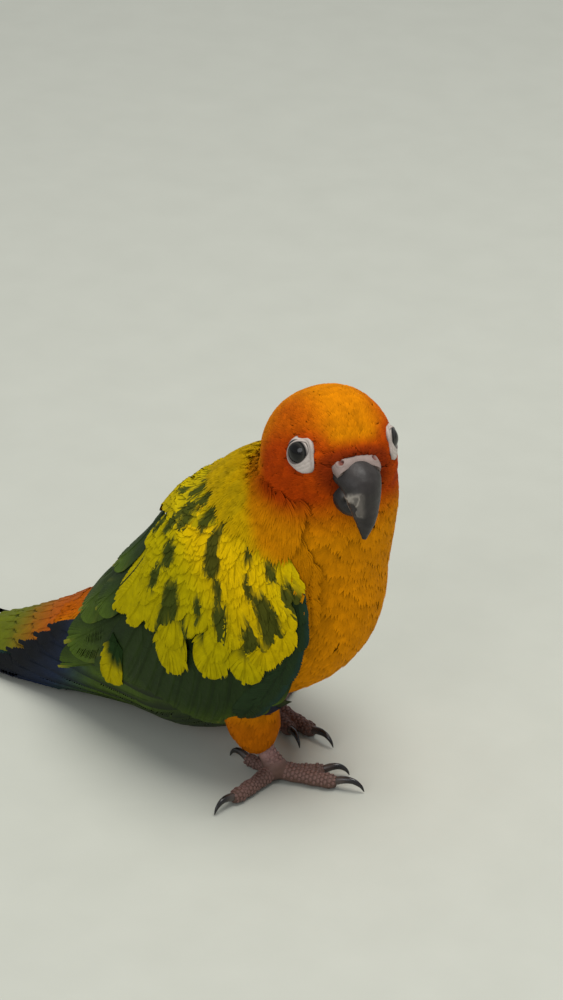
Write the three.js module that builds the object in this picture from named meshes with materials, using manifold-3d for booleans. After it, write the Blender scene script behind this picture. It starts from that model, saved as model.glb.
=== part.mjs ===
// A young sun conure as a still, life-size model: it stands with its right foot forward, its head
// turned to the right and its long tail laid on the floor behind it.
// Millimetres. +X runs from the tail to the breast, +Y to the bird's left, +Z up from the floor.
import * as THREE from "three";
import { mergeVertices } from "three/addons/utils/BufferGeometryUtils.js";
import Module from "manifold-3d";

const wasm = await Module();
wasm.setup();

// Driving sizes
const GAP = 0.3; // between two pieces that touch
const TAIL_SWING = 20; // how far the tail tip stands to the bird's right of the body's middle
const HEAD_CENTRE = [9, 0.4, 93.4];
const HEAD_TURN = 29; // degrees to the bird's right
const HEAD_RAISE = 8; // degrees, bill upwards
const HEAD_LEAN = 3; // degrees, crown towards the bird's left
const EYE_RADIUS = 4.2;
const EYE_PLACE = [7.8, 9.6, -0.5]; // in the head's own frame
const EYE_OPENING = [8.4, -0.1]; // x and z of the lids' middle on the head's side
const VANE_THICKNESS = 0.7;
const FINENESS = 0.08; // the most that joining may move a surface

// Small tools
const vec = (x, y, z) => new THREE.Vector3(x, y, z);
const { degToRad, lerp, smoothstep, clamp } = THREE.MathUtils;

function solidOf(geometry) {
  const bare = new THREE.BufferGeometry().setAttribute("position", geometry.getAttribute("position"));
  if (geometry.index) bare.setIndex(geometry.index);
  const merged = mergeVertices(bare, 1e-4);
  const mesh = new wasm.Mesh({
    numProp: 3,
    vertProperties: merged.attributes.position.array,
    triVerts: new Uint32Array(merged.index.array),
  });
  return new wasm.Manifold(mesh);
}

function geometryOf(solid) {
  const mesh = solid.getMesh();
  const positions = new THREE.BufferAttribute(new Float32Array(mesh.vertProperties), mesh.numProp);
  return new THREE.BufferGeometry()
    .setAttribute("position", positions)
    .setIndex(new THREE.BufferAttribute(mesh.triVerts, 1));
}

const joined = (solids) => wasm.Manifold.union(solids);
const finished = (solid) => largest(largest(solid).asOriginal().simplify(FINENESS));

function largest(solid) {
  return solid.decompose().sort((a, b) => b.volume() - a.volume())[0];
}

// A closed solid from points and triangles, turned to face outwards.
function closedSolid(points, faces) {
  const build = (order) =>
    solidOf(new THREE.BufferGeometry().setFromPoints(points).setIndex(order));
  const solid = build(faces);
  if (solid.volume() > 0) return solid;
  const turned = [];
  for (let i = 0; i < faces.length; i += 3) turned.push(faces[i], faces[i + 2], faces[i + 1]);
  return build(turned);
}

// A skin through rings of points, closed at both ends.
function loft(rings) {
  const around = rings[0].length;
  const points = rings.flat();
  const faces = [];
  for (let i = 0; i + 1 < rings.length; i++)
    for (let j = 0; j < around; j++) {
      const a = i * around + j;
      const b = i * around + ((j + 1) % around);
      faces.push(a, b, b + around, a, b + around, a + around);
    }
  for (const [ring, turn] of [[rings[0], true], [rings[rings.length - 1], false]]) {
    const start = turn ? 0 : (rings.length - 1) * around;
    const centre = points.length;
    points.push(ring.reduce((sum, p) => sum.add(p), vec(0, 0, 0)).divideScalar(around));
    for (let j = 0; j < around; j++) {
      const a = start + j;
      const b = start + ((j + 1) % around);
      faces.push(...(turn ? [b, a, centre] : [a, b, centre]));
    }
  }
  return closedSolid(points, faces);
}

// A smooth run through rows of numbers: the value of each column at share t of the way.
function blend(rows) {
  const last = rows.length - 1;
  return (t) => {
    const at = clamp(t, 0, 1) * last;
    const i = Math.min(Math.floor(at), last - 1);
    const [p, q, r, s] = [i - 1, i, i + 1, i + 2].map((k) => rows[clamp(k, 0, last)]);
    const f = at - i;
    return q.map((value, c) => {
      const rise = (r[c] - p[c]) / 2;
      const nextRise = (s[c] - q[c]) / 2;
      const span = r[c] - value;
      return value + f * (rise + f * (3 * span - 2 * rise - nextRise + f * (rise + nextRise - 2 * span)));
    });
  };
}

// Everything on one side of a plane, starting half a gap past it.
function halfSpace(point, normal, start = GAP / 2) {
  const size = 400;
  const box = new THREE.BoxGeometry(size, size, size);
  box.translate(0, 0, size / 2 + start);
  box.applyQuaternion(new THREE.Quaternion().setFromUnitVectors(vec(0, 0, 1), normal.clone().normalize()));
  box.translate(point.x, point.y, point.z);
  return solidOf(box);
}

const aboveFloor = solidOf(new THREE.BoxGeometry(600, 300, 300).translate(0, 0, 150));

// Trunk: an oval section swept along a curved spine from the rump to inside the head. The spine
// runs on behind the rump as a guide for the folded wings.
// Each row: x, z, half depth, half width.
const TRUNK = [
  [-126, 4.2, 2.6, 9],
  [-103, 6.2, 4, 11.5],
  [-81, 10.8, 6.5, 13],
  [-60, 18, 10, 15],
  [-40, 28.5, 19.5, 19.5],
  [-20, 39.5, 27, 22.5],
  [-5.5, 52.7, 28.8, 21.5],
  [3, 67.3, 22.6, 19.6],
  [8.4, 78.6, 18.2, 17.6],
  [10, 89.4, 15, 15.5],
];
const RUMP_SHARE = 2.5 / 9; // where along the rows the flesh ends and the tail begins
const trunkRow = blend(TRUNK);
const swing = (x) => -TAIL_SWING * Math.min(0, (x + 20) / 170) ** 2;

function trunkFrame(t) {
  const centreAt = (s) => {
    const [x, z] = trunkRow(s);
    return vec(x, swing(x), z);
  };
  const step = 0.004;
  const forward = centreAt(t + step).sub(centreAt(t - step)).normalize();
  const left = vec(0, 0, 1).cross(forward).normalize();
  const [, , depth, width] = trunkRow(t);
  return { centre: centreAt(t), forward, left, up: forward.clone().cross(left), depth, width };
}

// A point of the trunk's surface. The angle runs from the back (0) down the right side (90).
function trunkPoint(t, angle, height = 0) {
  const { centre, left, up, depth, width } = trunkFrame(t);
  const a = degToRad(angle);
  return centre
    .addScaledVector(up, (depth + height) * Math.cos(a))
    .addScaledVector(left, -(width + height) * Math.sin(a));
}

function trunkLoft(start, end, steps, height) {
  const around = 28;
  return loft(
    Array.from({ length: steps + 1 }, (_, i) => {
      const t = lerp(start, end, i / steps);
      return Array.from({ length: around }, (_, j) => trunkPoint(t, (360 * j) / around, height));
    }),
  );
}

const trunk = (height = 0) => trunkLoft(RUMP_SHARE, 0.999, 22, height);
const guide = () => trunkLoft(0, RUMP_SHARE + 0.02, 10, 0);

// Head, in its own frame: +X to the bill, +Z to the crown.
// Each row: x, half width, top, bottom, height of the widest level.
const HEAD = [
  [-17, 5.1, 1.6, -8, -3],
  [-14, 10.3, 5.8, -13, -5],
  [-8, 14.4, 9.4, -17, -6],
  [0, 15.6, 12.2, -17.5, -7],
  [7, 14.7, 12, -17, -7],
  [11.6, 12.2, 8.4, -15, -7],
  [14.2, 9, 3.8, -12.5, -6],
  [15.5, 5.4, 0, -10.5, -5],
];
const headRow = blend(HEAD);
const [lean, raise, turn] = [-HEAD_LEAN, -HEAD_RAISE, -HEAD_TURN].map(degToRad);
const headPose = new THREE.Matrix4()
  .makeRotationFromEuler(new THREE.Euler(lean, raise, turn, "ZYX"))
  .setPosition(...HEAD_CENTRE);
const toWorld = (point) => point.applyMatrix4(headPose);

function headShape(height = 0) {
  const rings = [];
  const steps = 16;
  const around = 24;
  for (let i = 0; i <= steps; i++) {
    const [x, width, top, bottom, middle] = headRow(i / steps);
    const ring = [];
    for (let j = 0; j < around; j++) {
      const a = (2 * Math.PI * j) / around;
      const rise = Math.sin(a) > 0 ? top - middle : middle - bottom;
      const z = middle + (rise + height) * Math.sin(a);
      ring.push(toWorld(vec(x + (i === steps ? height : 0), (width + height) * Math.cos(a), z)));
    }
    rings.push(ring);
  }
  return loft(rings);
}

// A tube of oval section along points of [x, y, z, half width, half height], with its width kept level.
function tube(rows, { steps = 12, around = 12, height = 0, place = (p) => p } = {}) {
  const row = blend(rows);
  const centre = (t) => vec(...row(t).slice(0, 3));
  const rings = [];
  for (let i = 0; i <= steps; i++) {
    const t = i / steps;
    const forward = centre(Math.min(1, t + 0.01)).sub(centre(Math.max(0, t - 0.01))).normalize();
    const side = Math.abs(forward.z) > 0.95 ? vec(0, 1, 0) : vec(0, 0, 1).cross(forward).normalize();
    const up = forward.clone().cross(side).normalize();
    const [, , , width, tall] = row(t);
    rings.push(
      Array.from({ length: around }, (_, j) => {
        const a = (2 * Math.PI * j) / around;
        return place(
          centre(t)
            .addScaledVector(side, (width + height) * Math.cos(a))
            .addScaledVector(up, (tall + height) * Math.sin(a)),
        );
      }),
    );
  }
  return loft(rings);
}

function ball(centre, radius, segments = 16) {
  return solidOf(new THREE.SphereGeometry(radius, segments, segments / 2).translate(...centre));
}

// Bill, in the head's frame
const UPPER_BILL = [
  [10, 0, -5.2, 6, 3.9],
  [15.6, 0, -5.5, 6, 3.9],
  [18.3, 0, -8, 4.8, 3.9],
  [19, 0, -12, 3.4, 2.9],
  [19.2, 0, -16, 2, 1.9],
  [18.6, 0, -20.5, 0.45, 0.45],
];
const LOWER_BILL = [
  [8, 0, -8.8, 5.7, 4.2],
  [12.8, 0, -10.4, 5.8, 4.5],
  [16, 0, -12.2, 4.9, 3.7],
  [17.6, 0, -12.2, 2.9, 1.6],
];
const NOSTRIL = { place: [16.3, 4.6, -0.9], radius: 0.75 };

const upperBill = (height = 0) => tube(UPPER_BILL, { steps: 16, around: 16, height, place: toWorld });
const lowerBill = () => tube(LOWER_BILL, { steps: 10, around: 16, place: toWorld });

function cere() {
  const band = tube(
    [
      [12, 0, -2.6, 6.4, 3.8],
      [15.6, 0, -3.2, 6.3, 3.8],
      [17.4, 0, -4.2, 5.6, 3.3],
    ],
    { steps: 6, around: 16, place: toWorld },
  );
  const nostrils = [-1, 1].map((side) => {
    const [x, y, z] = NOSTRIL.place;
    return ball(toWorld(vec(x, side * y, z)).toArray(), NOSTRIL.radius, 10);
  });
  return band.subtract(joined(nostrils));
}

const eyeCentre = (side) => toWorld(vec(EYE_PLACE[0], side * EYE_PLACE[1], EYE_PLACE[2]));

// Half of the head's width at a place of its side, seen square to the bird's middle plane.
const headShares = Array.from({ length: 201 }, (_, i) => i / 200);
function headSide(x, z) {
  const share = headShares.find((t) => headRow(t)[0] >= x) ?? 1;
  const [, width, top, bottom, middle] = headRow(share);
  const rise = z > middle ? top - middle : middle - bottom;
  return width * Math.sqrt(Math.max(0, 1 - ((z - middle) / rise) ** 2));
}

// A closed ring of round section through points, in a plane square to an axis.
function ringTube(points, radius, axis, around = 6) {
  const count = points.length;
  const skin = [];
  const faces = [];
  points.forEach((point, i) => {
    const along = points[(i + 1) % count].clone().sub(points[(i + count - 1) % count]).normalize();
    const side = along.clone().cross(axis).normalize();
    for (let j = 0; j < around; j++) {
      const a = (2 * Math.PI * j) / around;
      const [out, up] = [radius * Math.cos(a), radius * Math.sin(a)];
      skin.push(point.clone().addScaledVector(side, out).addScaledVector(axis, up));
      const [b, c] = [i * around + j, i * around + ((j + 1) % around)];
      const [d, e] = [b, c].map((k) => (k + around) % (count * around));
      faces.push(b, c, e, b, e, d);
    }
  });
  return closedSolid(skin, faces);
}

// The raised rims round an eye: a lid's edge close to the ball and the outer edge of the bare ring,
// which runs out to a point towards the bill.
const EYE_RIMS = [
  { reach: 3, corner: 0.2, radius: 0.55, sink: -0.1 },
  { reach: 4.3, corner: 1.9, radius: 0.5, sink: 0.15 },
];

function eyeRims(side) {
  const axis = toWorld(vec(0, side, 0)).sub(toWorld(vec(0, 0, 0))).normalize();
  const rims = EYE_RIMS.map(({ reach, corner, radius, sink }) => {
    const points = Array.from({ length: 18 }, (_, i) => {
      const a = (2 * Math.PI * i) / 18;
      const towardsBill = Math.max(0, Math.cos(a + 0.5)) ** 6;
      const out = reach + corner * towardsBill;
      const [x, z] = [EYE_OPENING[0] + out * Math.cos(a), EYE_OPENING[1] + out * Math.sin(a)];
      return toWorld(vec(x, side * (headSide(x, z) - sink), z));
    });
    return ringTube(points, radius, axis);
  });
  return joined(rims);
}

// A thin body on a surface chart. rows(s) gives, for each column of a row, [p, v, top, bottom];
// place(p, v, h) turns those into a point.
function patch(place, rows, steps) {
  const table = Array.from({ length: steps + 1 }, (_, i) => rows(i / steps));
  const wide = table[0].length;
  const points = [2, 3].flatMap((k) => table.flat().map((spot) => place(spot[0], spot[1], spot[k])));
  const below = points.length / 2;
  const faces = [];
  for (let i = 0; i < steps; i++)
    for (let j = 0; j + 1 < wide; j++) {
      const a = i * wide + j;
      const [b, c, d] = [a + 1, a + wide + 1, a + wide];
      faces.push(a, b, c, a, c, d);
      faces.push(a + below, c + below, b + below, a + below, d + below, c + below);
    }
  const rim = [];
  for (let j = 0; j < wide; j++) rim.push(j);
  for (let i = 1; i <= steps; i++) rim.push(i * wide + wide - 1);
  for (let j = wide - 2; j >= 0; j--) rim.push(steps * wide + j);
  for (let i = steps - 1; i > 0; i--) rim.push(i * wide);
  rim.forEach((a, k) => {
    const b = rim[(k + 1) % rim.length];
    faces.push(b, a, a + below, b, a + below, b + below);
  });
  return closedSolid(points, faces);
}

// A feather's vane: a thin plate with a low ridge at its shaft and a rounded tip. reach(p) gives the
// millimetres that one unit of v spans at p; the vane leans so that its v-side edge lies lower.
function vane({ place, reach }, shape) {
  const { root, tip, width, from, to, bow = 0, steps = 4, round = 0.62, lean = 0.28, base = 0.55 } = shape;
  const ridge = 0.25;
  const path = (s) => [lerp(root[0], tip[0], s), lerp(root[1], tip[1], s) + bow * Math.sin(Math.PI * s)];
  return patch(
    place,
    (s) => {
      const [p, v] = path(s);
      const [p0, v0] = path(Math.max(0, s - 0.02));
      const [p1, v1] = path(Math.min(1, s + 0.02));
      const along = new THREE.Vector2(p1 - p0, (v1 - v0) * reach(p)).normalize();
      const past = Math.max(0, (s - round) / (1 - round));
      const share = lerp(base, 1, smoothstep(s, 0, round)) * Math.sqrt(Math.max(0.04, 1 - past * past));
      const half = (width / 2) * share;
      return [-1, 0, 1].map((c) => {
        const lift = lerp(from, to, s) - lean * c + (c === 0 ? ridge : 0);
        const thick = VANE_THICKNESS / 2;
        return [p - along.y * half * c, v + (along.x * half * c) / reach(p), lift + thick, lift - thick];
      });
    },
    steps,
  );
}

// The surface chart of a folded wing: p is millimetres back from the wing's front edge along the
// trunk, v runs from the edge beside the back (0) down to the edge under the flank (1), and h is the
// height off the trunk.
const WING_FRONT_SHARE = 7.2 / 9;
const WING_TOP = 14; // degrees round the trunk
const WING_BOTTOM = 150;
// Each folded wing: how far its lower part stands off the flank, and how far back it sits
const WINGS = { right: { side: 1, hang: 4, back: 0 }, left: { side: -1, hang: 1.5, back: 5 } };

const trunkShares = [];
for (let t = 0.98, walked = 0; t >= 0; t -= 0.004) {
  const [x, z] = trunkRow(t);
  const before = trunkShares.at(-1);
  if (before) walked += Math.hypot(x - before.x, z - before.z);
  trunkShares.push({ t, x, z, walked });
}
const walkedToFront = trunkShares.find((spot) => spot.t <= WING_FRONT_SHARE).walked;

function shareAt(p) {
  const i = trunkShares.findIndex((spot) => spot.walked - walkedToFront > p);
  if (i < 1) return i < 0 ? trunkShares.at(-1).t : trunkShares[0].t;
  const [a, b] = [trunkShares[i - 1], trunkShares[i]];
  return lerp(a.t, b.t, (p + walkedToFront - a.walked) / (b.walked - a.walked));
}

const hang = (p, v) => smoothstep(v, 0.45, 0.95) * smoothstep(p, -10, 10) * (1 - smoothstep(p, 40, 75));

const wingReach = (p) => {
  const [, , depth, width] = trunkRow(shareAt(p));
  return ((depth + width) / 2) * degToRad(WING_BOTTOM - WING_TOP);
};

// Rows of feathers, from the lowest layer up. Each runs from its first feather to its last; places
// are [p, v] on the chart, lift is the height over the trunk at the root and at the tip.
const TIERS = [
  {
    count: 8,
    roots: [[42, 0.72], [28, 0.9]],
    tips: [[90, 0.3], [127, 0.42]],
    width: [9.5, 8],
    lift: [[0.9, 1.1], [0.9, 0.5]],
    bow: 0.06,
    steps: 6,
  },
  {
    count: 6,
    roots: [[38, 0.3], [28, 0.74]],
    tips: [[80, 0.3], [84, 0.76]],
    width: [13, 12],
    lift: [[1.6, 2.2], [1.2, 1.2]],
    bow: 0.03,
    steps: 4,
  },
  {
    count: 2,
    roots: [[26, 0.9], [24, 0.95]],
    tips: [[54, 0.86], [50, 0.94]],
    width: [8, 7],
    lift: [[1.2, 1.9], [1, 1.3]],
    bow: 0,
    steps: 4,
  },
  {
    count: 7,
    roots: [[34, 0.38], [14, 0.8]],
    tips: [[66, 0.6], [38, 0.93]],
    width: [12, 9.5],
    lift: [[1.8, 2.8], [1.6, 2]],
    bow: 0,
    steps: 4,
  },
  {
    count: 5,
    roots: [[20, 0.36], [6, 0.74]],
    tips: [[46, 0.56], [26, 0.93]],
    width: [13, 10],
    lift: [[2, 3.4], [1.8, 2.8]],
    bow: 0,
    steps: 4,
  },
  {
    count: 3,
    roots: [[28, 0.12], [34, 0.28]],
    tips: [[60, 0.14], [64, 0.34]],
    width: [12, 12],
    lift: [[1.6, 3], [1.6, 2.8]],
    bow: 0,
    steps: 4,
  },
];

const lerp2 = (a, b, k) => [lerp(a[0], b[0], k), lerp(a[1], b[1], k)];

function tierVanes(chart, tier) {
  const { count, roots, tips, width, lift, bow, steps } = tier;
  return Array.from({ length: count }, (_, i) => {
    const k = count > 1 ? i / (count - 1) : 0;
    const [from, to] = lerp2(lift[0], lift[1], k);
    const shape = { root: lerp2(roots[0], roots[1], k), tip: lerp2(tips[0], tips[1], k), from, to };
    return vane(chart, { ...shape, width: lerp(width[0], width[1], k), bow, steps });
  });
}

// The arm and hand with their small coverts: a low rounded pad along the trunk's side. Each row:
// p, v of its upper and lower edge, height of its crown.
const PAD = [
  [-6, 0.38, 0.58, 0.6],
  [0, 0.16, 0.72, 2.6],
  [10, 0.08, 0.84, 3],
  [22, 0.08, 0.92, 3],
  [38, 0.1, 0.92, 2.6],
  [58, 0.18, 0.6, 0.8],
];
const padRow = blend(PAD);

function wingPad(chart) {
  return patch(
    chart.place,
    (s) => {
      const [p, upper, lower, crown] = padRow(s);
      return Array.from({ length: 9 }, (_, j) => {
        const c = (j - 4) / 4;
        const v = lerp(upper, lower, (1 + c) / 2);
        return [p, v, 0.9 + crown * Math.sqrt(Math.max(0, 1 - c * c)), -chart.hang * hang(p, v)];
      });
    },
    12,
  );
}

const wingChart = ({ side, hang: most, back }) => ({
  place: (p, v, h) =>
    trunkPoint(shareAt(p + back), side * lerp(WING_TOP, WING_BOTTOM, v), h + most * hang(p, v) + GAP),
  reach: wingReach,
  hang: most,
});

function wing(fold) {
  const chart = wingChart(fold);
  const pieces = [wingPad(chart), ...TIERS.flatMap((tier) => tierVanes(chart, tier))];
  return joined(pieces).subtract(trunk(GAP)).intersect(aboveFloor);
}

// Tail: its middle line leaves the rump inside the space between the folded wings and comes down to
// lie on the floor. Each row: x, z.
const TAIL_LINE = [
  [-66, 16],
  [-84, 9.6],
  [-105, 5],
  [-128, 2.6],
  [-154, 1.2],
  [-190, 0.05],
];
const tailRow = blend(TAIL_LINE);
const TAIL_LENGTH = 128;

function tailPlace(p, across, h) {
  const t = p / TAIL_LENGTH;
  const at = (s) => {
    const [x, z] = tailRow(s);
    return vec(x, swing(x), z);
  };
  const forward = at(t - 0.01).sub(at(t + 0.01)).normalize();
  const left = vec(0, 0, 1).cross(forward).normalize();
  const roof = lerp(0.035, 0.012, t) * across * across; // the tail's sides hang lower than its middle
  return at(t)
    .addScaledVector(left, across)
    .addScaledVector(forward.clone().cross(left), h - roof);
}

// Six pairs of tail feathers, the middle pair longest and on top: [length, tip's distance from the
// middle, width, height]
const TAIL_PAIRS = [
  [128, 2.2, 8.6, 0.55],
  [116, 4.3, 8.4, 0.2],
  [101, 6, 8.2, -0.15],
  [85, 7.4, 8, -0.5],
  [70, 8.2, 7.6, -0.85],
  [56, 8.6, 7, -1.2],
];
// Coverts over and under the tail's root: [side of the tail, count, length, width, height at the tip]
const TAIL_COVERTS = [
  [1, 5, 38, 8, 2],
  [-1, 4, 44, 8, -2.4],
];

function tail() {
  const chart = { place: tailPlace, reach: () => 1 };
  const feathers = TAIL_PAIRS.flatMap(([length, spread, width, height], i) =>
    [1, -1].map((side) => {
      const shape = { root: [2, side * (1 + 0.9 * i)], tip: [length, side * spread], width };
      const lift = { from: height * 1.6, to: height * 0.6 };
      return vane(chart, { ...shape, ...lift, steps: 7, round: 0.86, lean: 0.12, base: 0.7 });
    }),
  );
  const coverts = TAIL_COVERTS.flatMap(([over, count, length, width, height]) =>
    Array.from({ length: count }, (_, i) => {
      const k = i - (count - 1) / 2;
      const shape = { root: [1, 2.2 * k], tip: [length - 4 * Math.abs(k), 3.6 * k], width };
      return vane(chart, { ...shape, from: over * 3.2, to: height, steps: 4, lean: 0 });
    }),
  );
  const stub = tube(
    [
      [...tailPlace(34, 0, -0.4), 7, 1.6],
      [...tailPlace(16, 0, -0.2), 9, 3.4],
      [...tailPlace(0, 0, 0), 10.5, 6.6],
    ],
    { steps: 6, around: 14 },
  );
  const between = joined([guide(), halfSpace(vec(-121, 0, 0), vec(-1, 0, 0))]);
  return joined([stub, ...feathers, ...coverts]).intersect(between);
}

// Legs. Each foot's ball stands at its own place; angles turn outwards from straight ahead.
const FEET = {
  right: { side: -1, ball: [2, -11.5], turn: -24, wing: WINGS.right },
  left: { side: 1, ball: [-17, 12], turn: -14, wing: WINGS.left },
};
const SHANK = { back: 5, high: 10, ballHeight: 3.4 };
const TOES = [
  { name: "2", angle: -16, length: 12.5, radius: 2, claw: 6 },
  { name: "3", angle: 4, length: 16, radius: 2.1, claw: 7 },
  { name: "4", angle: 118, length: 16, radius: 2, claw: 6.5 },
  { name: "1", angle: -152, length: 9.5, radius: 1.8, claw: 5.5 },
];

const headingOf = (foot, toe) => foot.side * degToRad(foot.turn + toe.angle);

function toeRows(foot, toe) {
  const heading = headingOf(foot, toe);
  const [x, y] = foot.ball;
  return [0, 0.3, 0.62, 0.85, 1].map((s, i) => {
    const out = toe.length * s;
    const high = [SHANK.ballHeight - 0.6, 2.3, 1.9, 1.9, 1.8][i];
    const fat = [1.15, 1.05, 1, 1.02, 0.8][i] * toe.radius;
    return [x + out * Math.cos(heading), y + out * Math.sin(heading), high, fat, fat];
  });
}

function claw(foot, toe) {
  const toeEnd = toeRows(foot, { ...toe, length: toe.length + GAP });
  const heading = headingOf(foot, toe);
  const [x, y] = foot.ball;
  const rows = [
    [-1.2, 1.9, 1.15],
    [1.2, 3, 1.05],
    [3.6, 3, 0.8],
    [5.2, 1.8, 0.5],
    [5.8, 0.3, 0.2],
  ].map(([out, high, fat]) => {
    const reach = toe.length + (out * toe.claw) / 6;
    return [x + reach * Math.cos(heading), y + reach * Math.sin(heading), high, fat, fat];
  });
  const toeGrown = tube(toeEnd, { steps: 8, around: 10, height: GAP });
  return tube(rows, { steps: 7, around: 8 }).subtract(toeGrown).intersect(aboveFloor);
}

function shankRows(foot) {
  const [x, y] = foot.ball;
  const { back, high, ballHeight } = SHANK;
  return [
    [x - back, y, high, 2.6, 2.5],
    [x - back / 2, y, (high + ballHeight) / 2, 2.3, 2.2],
    [x, y, ballHeight, 3.2, 2.9],
  ];
}

function footSolid(foot) {
  const [x, y] = foot.ball;
  const shank = tube(shankRows(foot), { steps: 8, around: 12 });
  const toes = TOES.map((toe) => tube(toeRows(foot, toe), { steps: 8, around: 10 }));
  return joined([shank, ball([x, y, SHANK.ballHeight - 0.3], 3.5, 14), ...toes]).intersect(aboveFloor);
}

// The room that a foot's shank needs in what covers it.
function shankRoom(foot) {
  const [x, y, z] = shankRows(foot)[0];
  return joined([tube(shankRows(foot), { steps: 8, height: GAP }), ball([x, y, z], 2.6 + GAP, 14)]);
}

// The wing's lower outline: p, v. A thigh shows only below it.
const wingOutline = blend([
  [-10, 0.6],
  [0, 0.78],
  [12, 0.92],
  [28, 1.04],
  [85, 1.04],
]);

// The feathered thigh comes out from under the wing and ends just above the toes.
function thigh(foot) {
  const [x, y] = foot.ball;
  const rows = [
    [x - 6, foot.side * 13, 34, 9, 10],
    [x - 7, foot.side * 13.5, 22, 8.5, 9],
    [x - 5.2, y + foot.side, 12.5, 6.2, 6.4],
    [x - 4, y, 7.8, 3.5, 3.3],
  ];
  const chart = wingChart(foot.wing);
  const wingRoom = patch(
    chart.place,
    (s) => {
      const [p, lower] = wingOutline(s);
      return Array.from({ length: 12 }, (_, j) => {
        const v = lerp(-0.05, lower, j / 11);
        return [p, v, 8, -chart.hang * hang(p, v) - 2 * GAP];
      });
    },
    18,
  );
  const whole = tube(rows, { steps: 10, around: 14 });
  return whole.subtract(joined([trunk(GAP), wingRoom, shankRoom(foot)]));
}

// Assembly
const flesh = joined([trunk(), headShape(), eyeRims(1), eyeRims(-1)]);
const neckBase = vec(12, 0, 72.4);
const neckAxis = vec(-0.1, 0, 1);
const headBase = vec(7, 0, 82.4);
const headAxis = vec(0.35, -0.12, 1);
const belowNeck = halfSpace(neckBase, neckAxis.clone().negate());
const aboveNeck = halfSpace(neckBase, neckAxis);
const belowHead = halfSpace(headBase, headAxis.clone().negate());
const aboveHead = halfSpace(headBase, headAxis);

const eye = (side, height = 0) => ball(eyeCentre(side).toArray(), EYE_RADIUS + height);
const orbits = joined([eye(1, GAP), eye(-1, GAP)]);
const fleshGrown = joined([headShape(1.7 * GAP), trunk(1.3 * GAP)]);
const billUpper = upperBill().subtract(fleshGrown).subtract(orbits);
const billLower = lowerBill().subtract(fleshGrown).subtract(upperBill(GAP));
const cereSolid = cere().subtract(fleshGrown).subtract(upperBill(GAP));

const rump = trunkFrame(RUMP_SHARE);
const behindRump = halfSpace(rump.centre, rump.forward.negate(), GAP);
const solids = {
  torso: flesh.intersect(belowNeck).subtract(joined([FEET.right, FEET.left].map(shankRoom))),
  neck: flesh.intersect(aboveNeck).intersect(belowHead),
  head: flesh.intersect(aboveHead).subtract(orbits),
  bill_upper: billUpper,
  bill_lower: billLower,
  cere: cereSolid,
  eye_right: eye(-1),
  eye_left: eye(1),
  wing_right: wing(WINGS.right),
  wing_left: wing(WINGS.left),
  tail: tail().intersect(behindRump).intersect(aboveFloor),
};
for (const [name, foot] of Object.entries(FEET)) {
  solids["thigh_" + name] = thigh(foot);
  solids["foot_" + name] = footSolid(foot);
  for (const toe of TOES) solids["claw_" + name + "_" + toe.name] = claw(foot, toe);
}

// Finishes: [first word of a node's name, colour, roughness]
const FINISHES = [
  ["torso", 0xd9920f, 0.85],
  ["neck", 0xe0900e, 0.85],
  ["head", 0xd97a10, 0.85],
  ["bill", 0x3b3636, 0.45],
  ["cere", 0xb3a294, 0.6],
  ["eye", 0x17120f, 0.1],
  ["wing", 0x6d7a16, 0.7],
  ["tail", 0x2c3a2c, 0.6],
  ["thigh", 0xcf7a12, 0.85],
  ["foot", 0x6f5750, 0.7],
  ["claw", 0x2b2826, 0.35],
];

function finishOf(name) {
  const [, color, roughness] = FINISHES.find(([word]) => name.split("_")[0] === word);
  return new THREE.MeshStandardMaterial({ color, roughness, metalness: 0 });
}

const bird = new THREE.Group();
for (const [name, solid] of Object.entries(solids)) {
  const mesh = new THREE.Mesh(geometryOf(finished(solid)), finishOf(name));
  mesh.name = name;
  bird.add(mesh);
}

// The origin lies on the floor under the middle of the whole
const bounds = new THREE.Box3().setFromObject(bird);
const middle = bounds.getCenter(vec(0, 0, 0));
for (const mesh of bird.children) mesh.geometry.translate(-middle.x, -middle.y, -bounds.min.z);
export default bird;
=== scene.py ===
# %% [markdown]
# # A young sun conure
# The bird stands on a pale floor with its head turned to its right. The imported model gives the
# places and the sizes; this script dresses it. One soft skin takes the place of the flesh, and
# every feather is laid over it as a small mesh of barbs, from the fine fans of the crown to the
# long vanes of the wing and the tail.

import math

import bpy
import numpy as np
from mathutils import Matrix, Vector
from mathutils.bvhtree import BVHTree


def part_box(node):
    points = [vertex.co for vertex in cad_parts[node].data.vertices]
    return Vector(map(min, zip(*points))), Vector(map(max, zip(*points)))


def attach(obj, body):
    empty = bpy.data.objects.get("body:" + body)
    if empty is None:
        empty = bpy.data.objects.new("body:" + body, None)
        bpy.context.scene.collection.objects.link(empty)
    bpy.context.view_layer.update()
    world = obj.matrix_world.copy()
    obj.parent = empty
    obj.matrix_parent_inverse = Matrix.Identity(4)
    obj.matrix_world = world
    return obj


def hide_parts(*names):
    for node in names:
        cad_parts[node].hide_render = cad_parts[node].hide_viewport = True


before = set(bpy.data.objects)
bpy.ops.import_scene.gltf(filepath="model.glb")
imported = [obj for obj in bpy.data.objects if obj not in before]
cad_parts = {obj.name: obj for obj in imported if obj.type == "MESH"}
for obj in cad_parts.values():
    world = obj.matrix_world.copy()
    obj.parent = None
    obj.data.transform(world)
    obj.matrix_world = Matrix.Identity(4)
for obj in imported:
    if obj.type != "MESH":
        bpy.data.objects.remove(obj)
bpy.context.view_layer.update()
scene = bpy.context.scene
rng = np.random.default_rng(17)

# %% [markdown]
# ## The body's own measures
# The trunk is an oval swept along a curved spine and the head is a rounded loft in a frame of its
# own. Both could be sculpted by hand, but rows of numbers can be read again: the same rows shaped
# the solids, so a feather that is placed by them lies where the solid is. All of these are
# millimetres; a single shift takes them to the model's place.

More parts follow.
